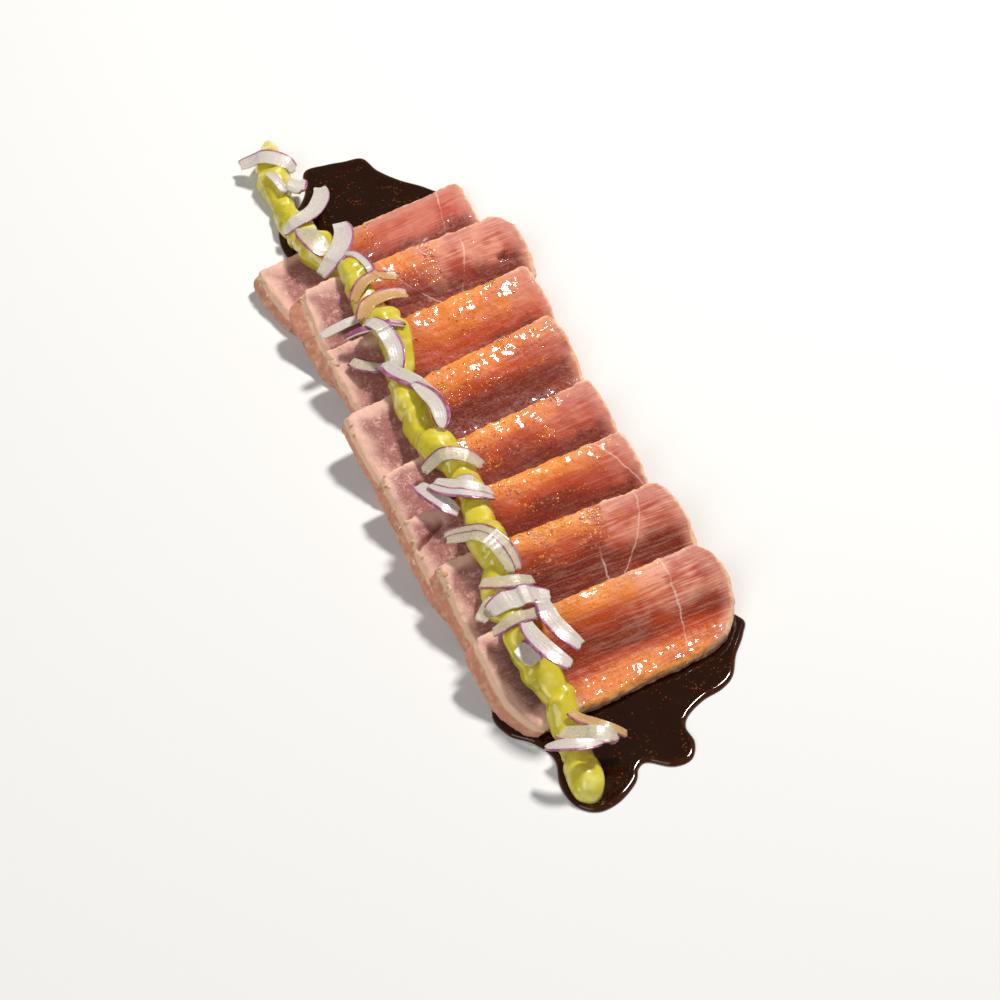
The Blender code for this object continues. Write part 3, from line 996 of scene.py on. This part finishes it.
SLIVERS = (
    SliverLayout(-22.0, 118.5, -75.0, 9.0, 2.6, droop=0.5, skin=0.3),
    SliverLayout(-17.3, 114.5, -120.0, 7.5, 5.5, roll=-8.0),
    SliverLayout(-21.5, 128.5, -30.0, 17.0, 5.4, radius=26.0, droop=2.0),
    SliverLayout(-18.5, 101.0, -138.0, 25.0, 4.8, radius=16.0, droop=2.5, skin=0.4),
    SliverLayout(-23.2, 82.5, 104.0, 13.0, 6.4, radius=14.0, kind=OnionKind.CLEAR),
    SliverLayout(-18.5, 76.0, -122.0, 26.0, 5.6, radius=22.0, droop=3.0, pitch=-4.0,
                 kind=OnionKind.LILAC),
    SliverLayout(-15.6, 62.5, -74.0, 13.5, 2.6, droop=0.5, kind=OnionKind.LILAC),
    SliverLayout(-27.0, 28.0, 143.0, 10.0, 4.0, radius=16.0, droop=0.3, pitch=4.0,
                 kind=OnionKind.CLEAR),
    SliverLayout(-28.4, 44.5, 10.0, 13.5, 3.0, radius=60.0, droop=0.3, pitch=-5.0, skin=0.0),
    SliverLayout(-21.4, 36.0, -8.0, 17.5, 2.4, radius=40.0, droop=1.5, skin=3.0),
    SliverLayout(-16.0, 52.5, 20.0, 18.0, 3.6, radius=13.0, droop=1.5, kind=OnionKind.STAINED),
    SliverLayout(-16.8, 43.5, 21.0, 19.0, 4.4, radius=14.0, droop=1.5, kind=OnionKind.STAINED),
    SliverLayout(-21.8, 26.5, -83.0, 21.0, 4.8, radius=20.0, droop=2.0, kind=OnionKind.LILAC),
    SliverLayout(-22.0, 9.0, 119.0, 20.0, 4.4, radius=40.0, droop=1.5, roll=-14.0, skin=1.8),
    SliverLayout(-20.0, -5.2, -85.0, 20.0, 4.8, radius=18.0, droop=1.5, taper=0.7, skin=1.6),
    SliverLayout(-28.0, -29.5, 115.0, 15.5, 4.8, radius=25.0, droop=1.5, kind=OnionKind.LILAC),
    SliverLayout(-20.0, -21.0, -15.0, 17.5, 4.6, radius=14.0, droop=2.5, kind=OnionKind.CLEAR),
    SliverLayout(-20.3, -29.0, -22.0, 6.5, 3.2, droop=0.3, skin=0.5),
    SliverLayout(-22.0, -32.5, 145.0, 18.0, 6.0, radius=18.0, droop=2.0, rings=2),
    SliverLayout(-23.3, -53.0, -54.0, 24.0, 6.0, radius=17.0, droop=2.5, kind=OnionKind.CLEAR, rings=2),
    SliverLayout(-22.0, -66.0, 165.0, 15.0, 4.4, radius=20.0, droop=1.5, kind=OnionKind.CLEAR),
    SliverLayout(-30.5, -74.5, 33.0, 8.5, 4.0, droop=0.5, kind=OnionKind.CLEAR, skin=0.0),
    SliverLayout(-23.6, -80.0, 190.0, 16.5, 4.0, radius=24.0, droop=1.5, kind=OnionKind.CLEAR),
    SliverLayout(-22.4, -76.5, -1.0, 17.5, 6.4, radius=30.0, droop=1.5),
    SliverLayout(-26.0, -91.0, -60.0, 6.5, 5.6, droop=0.3, roll=6.0, skin=1.6),
    SliverLayout(-22.0, -93.0, 108.0, 19.0, 4.8, radius=20.0, droop=2.0, kind=OnionKind.LILAC),
    SliverLayout(-17.0, -90.0, 102.0, 19.5, 4.8, radius=20.0, droop=2.0, kind=OnionKind.LILAC),
    SliverLayout(-15.8, -114.0, 136.0, 16.5, 3.2, radius=22.0, droop=2.0, kind=OnionKind.STAINED),
    SliverLayout(-20.3, -119.0, 150.0, 15.5, 5.8, radius=18.0, droop=2.0, kind=OnionKind.CLEAR),
    SliverLayout(-26.4, -123.5, 161.0, 15.0, 3.8, radius=20.0, droop=2.5, taper=0.6),
)

SLIVER_THICKNESS = 1.0
SLIVER_GAP = 0.12
FREE_SAG = 0.25
MOST_SAG = 2.4
SIGHT = np.array((0.349, 0.874, -1.0))


@dataclass(frozen=True)
class OnionFinish:
    """Colours of red onion."""

    white: Colour = (0.76, 0.69, 0.61)
    lilac: Colour = (0.70, 0.55, 0.66)
    clear: Colour = (0.84, 0.78, 0.58)
    stain: Colour = (0.78, 0.44, 0.13)
    skin: Colour = (0.30, 0.045, 0.15)
    skin_light: Colour = (0.52, 0.16, 0.32)

    def material(self, name: str, layout: SliverLayout, fibres: bpy.types.NodeTree) -> bpy.types.Material:
        """Build one sliver's material.

        Args:
            name: The material's name.
            layout: The sliver, for its kind, rings and skin.
            fibres: The shared fibre group.

        Returns:
            The material.
        """
        clearness, lilac, stain = layout.kind.value
        material, canvas, surface = new_surface(
            name, Gloss(ior=1.38, coat_roughness=0.10, subsurface=0.30,
                        subsurface_radius=(1.0, 0.85, 0.85), subsurface_scale=0.0012,
                        transmission=0.24 + 0.34 * clearness))
        along, across, _ = canvas.parts(canvas.mark("sliver_place").outputs["Vector"])
        spot = canvas.spot()
        cloud = canvas.noise(spot, 320.0, 2.0)
        lines = canvas.group(fibres, Along=along, Across=across, Spacing=0.42, Waver=0.15).outputs["Lines"]
        base = self.clear if clearness > 0.5 else self.white
        toward_skin = canvas.span(across, -0.2 * layout.width, 0.5 * layout.width)
        purple = canvas.times(canvas.math("ADD", toward_skin, canvas.line(
            cloud, 1.4, -0.7)), 0.12 + 0.50 * lilac)
        colour = canvas.blend(purple, base, self.lilac)
        colour = canvas.blend(canvas.times(lines, 0.22), colour, (1.0, 0.98, 0.97))
        colour = canvas.blend(stain * 0.85, colour, self.stain)
        skin_tone = canvas.blend(canvas.span(cloud, 0.35, 0.65), self.skin, self.skin_light)
        if layout.skin > 0.0:
            depth = 0.72 * layout.skin
            edge = canvas.line(cloud, 0.35, across)
            start = 0.5 * layout.width - depth
            skin = canvas.span(edge, start + 0.12, start + 0.32)
            colour = canvas.blend(canvas.times(skin, 0.92), colour, skin_tone)
        if layout.rings == 2:
            off = canvas.math("ABSOLUTE", canvas.math("ADD", across, canvas.times(cloud, -0.5)))
            colour = canvas.blend(canvas.times(canvas.span(off, 0.34, 0.14), 0.9), colour, skin_tone)
        paint(canvas, surface, colour, canvas.span(cloud, 0.3, 0.7, 0.20, 0.38),
              canvas.span(cloud, 0.35, 0.65, 0.25, 0.8))
        relief = canvas.line(lines, 0.5, canvas.noise(spot, 900.0, 2.0))
        add_relief(canvas, surface, relief, 0.12, 0.7)
        return material


class OnionSliver:
    """One sliver of red onion, a flat crescent cut across the layers of the bulb."""

    def __init__(self, number: int, layout: SliverLayout) -> None:
        """Take the sliver's number and layout."""
        self.number = number
        self.layout = layout
        self.tilt = np.array(Matrix.Rotation(math.radians(layout.heading), 3, "Z")
                             @ Matrix.Rotation(math.radians(layout.pitch), 3, "Y")
                             @ Matrix.Rotation(math.radians(layout.roll), 3, "X"))

    def spread(self, s: np.ndarray, c: np.ndarray, w: np.ndarray) -> np.ndarray:
        """Return the places of points along, across (both -1 to 1) and through the plain sliver."""
        layout = self.layout
        half = 0.5 * layout.width * (1.0 - layout.taper * np.abs(s) ** 3)
        radius = layout.radius + c * half
        angle = s * 0.5 * layout.length / layout.radius
        middle = layout.radius * (1.0 + math.cos(0.5 * layout.length / layout.radius)) / 2.0
        flat = np.stack((radius * np.sin(angle), radius * np.cos(angle) - middle,
                         w * SLIVER_THICKNESS - layout.droop * s * s), axis=1)
        return flat @ self.tilt.T + np.array((layout.x, layout.y, 0.0))

    def lay(self, points: np.ndarray, columns: np.ndarray, terrain: Terrain) -> np.ndarray:
        """Return the points let down along the line of sight until they touch, with sagging ends.

        Args:
            points: The sliver's points.
            columns: Each point's place along the sliver, from -1 to 1.
            terrain: What the sliver comes to lie on.

        Returns:
            The points where the sliver lies.
        """
        stations = np.unique(np.round(columns, 4))
        for _ in range(4):
            gaps = np.array([z - terrain.height(x, y) for x, y, z in points[::7]])
            points = points + SIGHT * (gaps.min() + SLIVER_GAP)
        sags = []
        for station in stations:
            row = points[np.abs(columns - station) < 1e-3]
            gap = min(z - terrain.height(x, y) for x, y, z in row[::6])
            sags.append(0.6 * min(max(gap - FREE_SAG, 0.0), MOST_SAG))
        even = np.convolve(np.pad(sags, 5, mode="edge"), np.ones(11) / 11.0, mode="valid")
        points[:, 2] -= np.interp(columns, stations, np.minimum(even, sags))
        return points

    def build(self, blank: bpy.types.Object, material: bpy.types.Material,
              terrain: Terrain) -> bpy.types.Object:
        """Shape and dress the sliver.

        Args:
            blank: The strip that every sliver is bent from.
            material: The sliver's finish.
            terrain: What the sliver comes to lie on.

        Returns:
            The finished sliver.
        """
        node = f"onion_sliver_{self.number:02d}"
        piece = copy_of(blank, f"red_onion_{self.number:02d}")
        raw = read_points(piece)
        s, c, w = raw[:, 0] * 2.0 - 1.0, raw[:, 1] * 2.0 - 1.0, raw[:, 2]
        lattice = Lattice(300 + self.number)
        seed = 11.0 * self.number
        stations = np.stack((s * 3.0 + seed, c, w * 0.0), axis=1)
        plain = self.spread(s, c, w)
        corners = np.array([(a, b, 0.0) for a in np.linspace(-1.0, 1.0, 9) for b in (-1.0, 1.0)])
        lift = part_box(node)[0][2] / MM - self.spread(*corners.T)[:, 2].min()
        ragged = s + 0.05 * lattice.at(stations * np.array((0.0, 3.0, 1.0)) + seed, 1.0) * np.abs(s) ** 8
        wide = c * (1.10 + 0.06 * lattice.at(stations, 1.3))
        shaped = self.spread(ragged, wide, 0.5 + (w - 0.5) * (0.80 - 0.30 * np.abs(c) ** 3))
        shaped[:, 2] += lift + 0.30 * c * c + 0.35 * lattice.at(stations, 2.4) * np.abs(s)
        write_mark(piece, "sliver_place", np.stack(
            (s * 0.5 * self.layout.length, c * 0.5 * self.layout.width, w), axis=1))
        shaped[:, 2] = np.maximum(shaped[:, 2], plain[:, 2] + lift - 0.5)
        write_points(piece, self.lay(shaped, s, terrain))
        refine(piece, 1)
        settle(piece)
        present(piece, "red_onion", material, node)
        terrain.add(piece)
        return piece


# Brown sauce

FRONT_POOL = (
    (38.4, -86.0), (36.6, -91.5), (31.8, -97.6), (28.0, -104.0), (23.4, -107.1), (17.4, -108.8),
    (11.6, -112.2), (9.1, -116.0), (9.3, -121.5), (6.2, -126.4), (0.7, -126.8), (-5.0, -123.0),
    (-8.0, -124.2), (-10.5, -128.2), (-17.0, -132.6), (-23.5, -133.6), (-28.2, -129.6), (-29.4, -122.0),
    (-27.4, -113.0), (-30.5, -106.0), (-35.5, -101.0), (-37.0, -93.0), (-30.0, -86.0), (0.0, -84.0),
    (28.0, -78.0),
)

BACK_POOL = (
    (-26.5, 105.0), (-20.0, 110.0), (-13.5, 118.0), (-10.5, 127.0), (-3.5, 127.6), (2.0, 127.0),
    (8.0, 126.2), (10.4, 119.5), (15.0, 113.0), (21.5, 106.5), (24.0, 100.0), (10.0, 92.0),
    (-15.0, 86.0), (-27.0, 92.0),
)


@dataclass(frozen=True)
class SauceFinish:
    """Colours of the thin soy sauce with its chilli oil."""

    thick: Colour = (0.017, 0.0046, 0.0013)
    thin: Colour = (0.060, 0.015, 0.003)
    fleck: Colour = (0.40, 0.085, 0.010)

    def material(self) -> bpy.types.Material:
        """Build the sauce's material."""
        material, canvas, surface = new_surface("brown_sauce", Gloss(ior=1.36))
        spot = canvas.spot()
        rim = canvas.mark("from_rim").outputs["Fac"]
        cloud = canvas.noise(spot, 90.0, 3.0)
        colour = canvas.blend(canvas.span(canvas.line(cloud, 1.5, rim), 0.4, 2.6), self.thin, self.thick)
        cells = canvas.node("ShaderNodeTexVoronoi", feature="F1")
        canvas.feed(cells.inputs["Vector"], spot)
        cells.inputs["Scale"].default_value = 900.0
        dots = canvas.times(canvas.span(cells.outputs["Distance"], 0.34, 0.12),
                           canvas.span(canvas.noise(spot, 200.0, 2.0), 0.44, 0.66))
        colour = canvas.blend(canvas.times(dots, 0.45), colour, self.fleck)
        paint(canvas, surface, colour, canvas.span(cloud, 0.3, 0.7, 0.03, 0.08),
              canvas.span(cloud, 0.3, 0.7, 0.0, 0.25))
        add_relief(canvas, surface, cloud, 0.08, 0.5)
        return material


@dataclass(frozen=True)
class SaucePool:
    """A thin pool of sauce with a rounded wet edge."""

    name: str
    outline: tuple
    height: float = 1.0
    profile: tuple = ((0.08, 0.26), (0.18, 0.28), (0.30, 0.22), (0.42, 0.12), (0.50, 0.0), (0.55, -0.12))

    def build(self, material: bpy.types.Material) -> bpy.types.Object:
        """Fill the outline, raise it and round its edge."""
        edge = smooth_route(self.outline, 1.1, closed=True)[:-1]
        start_selection()
        bpy.ops.mesh.primitive_circle_add(vertices=len(edge), radius=1.0, fill_type="NGON",
                                          location=(0.0, 0.0, 0.0))
        piece = newest(self.name)
        area = np.sum(edge[:, 0] * np.roll(edge[:, 1], -1) - np.roll(edge[:, 0], -1) * edge[:, 1])
        if area < 0.0:
            edge = edge[::-1]
        ring = read_points(piece)
        order = np.argsort(np.mod(np.arctan2(ring[:, 1], ring[:, 0]), math.tau))
        places = np.zeros((len(edge), 3))
        places[order, :2] = edge
        write_points(piece, places)
        bpy.ops.object.mode_set(mode="EDIT")
        bpy.ops.mesh.select_all(action="SELECT")
        bpy.ops.mesh.extrude_region_move(TRANSFORM_OT_translate={"value": (0.0, 0.0, 0.12)})
        for inset, rise in self.profile:
            bpy.ops.mesh.inset(thickness=inset, depth=0.0)
            bpy.ops.transform.translate(value=(0.0, 0.0, rise * self.height))
        bpy.ops.mesh.quads_convert_to_tris(ngon_method="BEAUTY")
        point_outward(piece)
        points = read_points(piece)
        gap = np.linalg.norm(points[:, None, :2] - edge[None, :, :], axis=2).min(axis=1)
        write_mark(piece, "from_rim", gap)
        settle(piece)
        present(piece, "brown_sauce", material)
        return piece


# Small things


@dataclass(frozen=True)
class Scatter:
    """Many small lumps laid on the food and joined into one mesh."""

    name: str
    slot: str
    seed: int
    ball_cuts: int = 2
    rough: float = 0.04

    def build(self, places: list, material: bpy.types.Material) -> bpy.types.Object:
        """Copy one lump to every place.

        Args:
            places: For each lump its point, its normal, and its length, width and height, in row
                millimetres.
            material: The lumps' finish.

        Returns:
            The joined piece.
        """
        start_selection()
        bpy.ops.mesh.primitive_ico_sphere_add(subdivisions=self.ball_cuts, radius=1.0,
                                              location=(0.0, 0.0, 0.0))
        piece = newest(self.name)
        ball = read_points(piece)
        bpy.ops.object.mode_set(mode="EDIT")
        for _ in range(math.ceil(math.log2(len(places)))):
            bpy.ops.mesh.select_all(action="SELECT")
            bpy.ops.mesh.duplicate()
        bpy.ops.object.mode_set(mode="OBJECT")
        chance = np.random.default_rng(self.seed)
        points = read_points(piece)
        for index, (point, normal, size) in enumerate(places):
            upright = Vector(normal).to_track_quat("Z", "Y").to_matrix()
            turn = np.array(upright @ Matrix.Rotation(chance.uniform(0.0, math.tau), 3, "Z"))
            lump = ball * (1.0 + self.rough * chance.uniform(-1.0, 1.0, (len(ball), 1))) * np.array(size)
            points[index * len(ball):(index + 1) * len(ball)] = lump @ turn.T + np.array(point)
        write_points(piece, points)
        spare = np.arange(len(points)) >= len(places) * len(ball)
        piece.data.vertices.foreach_set("select", spare)
        bpy.ops.object.mode_set(mode="EDIT")
        bpy.ops.mesh.select_mode(type="VERT")
        bpy.ops.mesh.delete(type="VERT")
        bpy.ops.object.mode_set(mode="OBJECT")
        settle(piece)
        present(piece, self.slot, material)
        return piece


def bead_places(terrain: Terrain) -> list:
    """Return where the glaze stands in beads on the slices' faces."""
    chance = np.random.default_rng(21)
    clumps = Lattice(22)
    places = []
    for layout in SLICES:
        for _ in range(BEAD_TRIES):
            u = chance.uniform(0.28, min(0.92, layout.glaze_end + 0.04))
            reach = WHOLE_REACH if layout.glaze_shade_run is GlazeToneAndShade.WHOLE else SHORT_REACH
            down = 0.8 + (reach - 0.8) * chance.random() ** 1.4
            x = layout.left[0] + (layout.right[0] - layout.left[0]) * u
            y = layout.left[1] + (layout.right[1] - layout.left[1]) * u - down
            if clumps.at(np.array([[x, y, 0.0]]), 6.0)[0] < chance.uniform(-0.2, 0.9):
                continue
            hit = terrain.touch(x, y)
            if hit is None:
                continue
            width = chance.uniform(0.12, 0.22) if chance.random() < 0.8 else chance.uniform(0.22, 0.38)
            places.append((hit[0], hit[1], (width * chance.uniform(1.0, 1.8), width, width * 0.34)))
    return places


CLEAR_BITS = ((-10.6, -112.2, 2.8, 2.2, 0.30), (-9.4, -115.0, 1.8, 1.4, 0.25))
FLAKE_PLACE = (-36.4, -64.9)
FLAKE_SIZE = (1.9, 1.2, 0.7)
BEAD_TRIES = 1300
SHORT_REACH = 13.0
WHOLE_REACH = 26.0


def clear_bit_places(terrain: Terrain) -> list:
    """Return where broken clear bits of onion lie, sunk in the front sauce."""
    places = []
    for x, y, length, width, height in CLEAR_BITS:
        hit = terrain.touch(x, y)
        point, normal = hit if hit is not None else (Vector((x, y, 0.95)), Vector((0.06, -0.1, 1.0)))
        places.append((point, normal, (length, width, height)))
    return places


def crumb_places(terrain: Terrain) -> list:
    """Return where cooked crumbs cling: the slices' left corners and seared edges."""
    chance = np.random.default_rng(31)
    places = []
    for number, layout in enumerate(SLICES, start=1):
        for _ in range(14 if number in (5, 6, 7, 8) else 6):
            down = abs(chance.normal(0.0, 5.0))
            x = layout.left[0] + chance.uniform(0.2, 2.0) + layout.end_slant * 0.6
            y = layout.left[1] - down
            hit = terrain.touch(x, y)
            if hit is None:
                continue
            size = chance.uniform(0.25, 0.7)
            places.append((hit[0], hit[1], (size * 1.3, size, size * 0.5)))
    flake = terrain.touch(*FLAKE_PLACE)
    if flake is not None:
        places.append((*flake, FLAKE_SIZE))
    return places


@dataclass(frozen=True)
class BeadFinish:
    """Amber glaze standing in beads."""

    light: Colour = (0.82, 0.25, 0.03)
    deep: Colour = (0.42, 0.06, 0.010)

    def material(self) -> bpy.types.Material:
        """Build the beads' material."""
        material, canvas, surface = new_surface("glaze_bead", Gloss(ior=1.45, coat_roughness=0.03))
        spot = canvas.spot()
        cloud = canvas.noise(spot, 260.0, 2.0)
        paint(canvas, surface, canvas.blend(canvas.span(cloud, 0.38, 0.62), self.light, self.deep),
              canvas.span(cloud, 0.3, 0.7, 0.04, 0.12), canvas.span(cloud, 0.1, 0.3, 0.8, 1.0))
        return material


@dataclass(frozen=True)
class CrumbFinish:
    """Small flakes of cooked fish."""

    light: Colour = (0.84, 0.58, 0.38)
    dark: Colour = (0.60, 0.30, 0.15)

    def material(self) -> bpy.types.Material:
        """Build the crumbs' material."""
        material, canvas, surface = new_surface("cooked_crumb", Gloss(subsurface=0.2))
        spot = canvas.spot()
        cloud = canvas.span(canvas.noise(spot, 500.0, 2.0), 0.35, 0.65)
        paint(canvas, surface, canvas.blend(cloud, self.dark, self.light),
              canvas.span(canvas.noise(spot, 900.0), 0.3, 0.7, 0.35, 0.6))
        add_relief(canvas, surface, canvas.noise(spot, 1500.0), 0.2)
        return material


# Camera, floor and light


@dataclass(frozen=True)
class Studio:
    """A pale floor, soft light and the camera."""

    camera_place: Place = (-289.2, -729.9, 811.4)
    camera_back: Place = (-0.25428, -0.63639, 0.72825)
    lens: float = 144.0
    floor: Colour = (0.80, 0.80, 0.79)

    def build(self) -> None:
        """Set up the floor, the lights and the camera."""
        self.add_floor()
        self.add_lights()
        self.add_camera()

    def add_camera(self) -> None:
        """Place the camera at the view's own angle."""
        back = Vector(self.camera_back).normalized()
        right = Vector((0.0, 0.0, 1.0)).cross(back).normalized()
        up = back.cross(right)
        data = bpy.data.cameras.new("camera")
        data.lens = self.lens
        data.sensor_width = 36.0
        data.clip_start = 0.01
        camera = bpy.data.objects.new("camera", data)
        turn = Matrix((right, up, back)).transposed().to_4x4()
        place = (Vector(self.camera_place) + Vector(ROW_SHIFT)) * MM
        camera.matrix_world = Matrix.Translation(place) @ turn
        bpy.context.scene.collection.objects.link(camera)
        bpy.context.scene.camera = camera

    def add_floor(self) -> None:
        """Lay a wide pale floor just under the food."""
        start_selection()
        bpy.ops.mesh.primitive_plane_add(size=6.0, location=(0.0, 0.0, -FLOOR_DROP))
        floor = bpy.context.object
        floor.name = "pale_floor"
        material, canvas, surface = new_surface("pale_floor", Gloss())
        spot = canvas.spot()
        shade = tuple(0.97 * part for part in self.floor)
        paint(canvas, surface, canvas.blend(canvas.noise(spot, 3.0), self.floor, shade), 0.75)
        floor.data.materials.append(material)

    def add_light(self, name: str, place: Place, size: float, power: float, tint: Colour) -> None:
        """Hang a square soft light that looks at the food."""
        data = bpy.data.lights.new(name, "AREA")
        data.size = size
        data.energy = power
        data.color = tint
        lamp = bpy.data.objects.new(name, data)
        facing = Vector(place).to_track_quat("Z", "Y").to_matrix().to_4x4()
        lamp.matrix_world = Matrix.Translation(place) @ facing
        bpy.context.scene.collection.objects.link(lamp)

    def add_lights(self) -> None:
        """Light the food from behind on the right, with a soft fill from the front."""
        self.add_light("key", (0.63, 0.44, 1.17), 0.20, 21.0, (1.0, 0.97, 0.93))
        self.add_light("fill", (-0.9, -0.7, 1.0), 1.0, 9.5, (0.97, 0.98, 1.0))
        world = bpy.data.worlds.new("soft_room")
        world.use_nodes = True
        background = world.node_tree.nodes["Background"]
        background.inputs["Color"].default_value = (0.95, 0.97, 1.0, 1.0)
        background.inputs["Strength"].default_value = 0.13
        bpy.context.scene.world = world
        bpy.context.scene.view_settings.view_transform = "Standard"


def main() -> None:
    """Load the frame, build every piece in turn and set up the studio."""
    logging.basicConfig(level=logging.INFO, format="%(name)s: %(message)s")
    for leftover in list(bpy.data.objects):
        bpy.data.objects.remove(leftover)
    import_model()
    speckle = wet_speckle_group()
    fibres = fibre_group()
    slices = TunaRow(speckle, fibres).build()
    terrain = Terrain(slices)
    cream = CreamLine().build(terrain, CreamFinish().material(speckle))
    pile = Terrain([*slices, cream])
    blank = block("sliver_blank", (1.0, 1.0, 1.0), 40, 11, 2)
    onion = OnionFinish()
    for number, layout in enumerate(SLIVERS, start=1):
        material = onion.material(f"red_onion_{number:02d}", layout, fibres)
        OnionSliver(number, layout).build(blank, material, pile)
    bpy.data.objects.remove(blank)
    sauce = SauceFinish().material()
    SaucePool("sauce_pool_front", FRONT_POOL).build(sauce)
    SaucePool("sauce_pool_back", BACK_POOL, height=0.8).build(sauce)
    Scatter("glaze_beads", "brown_sauce", 41).build(bead_places(terrain), BeadFinish().material())
    bit = SliverLayout(0.0, 0.0, 0.0, 4.0, 3.0, kind=OnionKind.CLEAR, skin=0.0)
    sunk = OnionFinish(clear=(0.34, 0.19, 0.07)).material("clear_bit", bit, fibres)
    Scatter("clear_bits", "red_onion", 43, rough=0.12).build(clear_bit_places(terrain), sunk)
    Scatter("cooked_crumbs", "seared_tuna", 42, rough=0.2).build(
        crumb_places(terrain), CrumbFinish().material())
    Studio().build()
    start_selection()


if __name__ == "__main__":
    main()
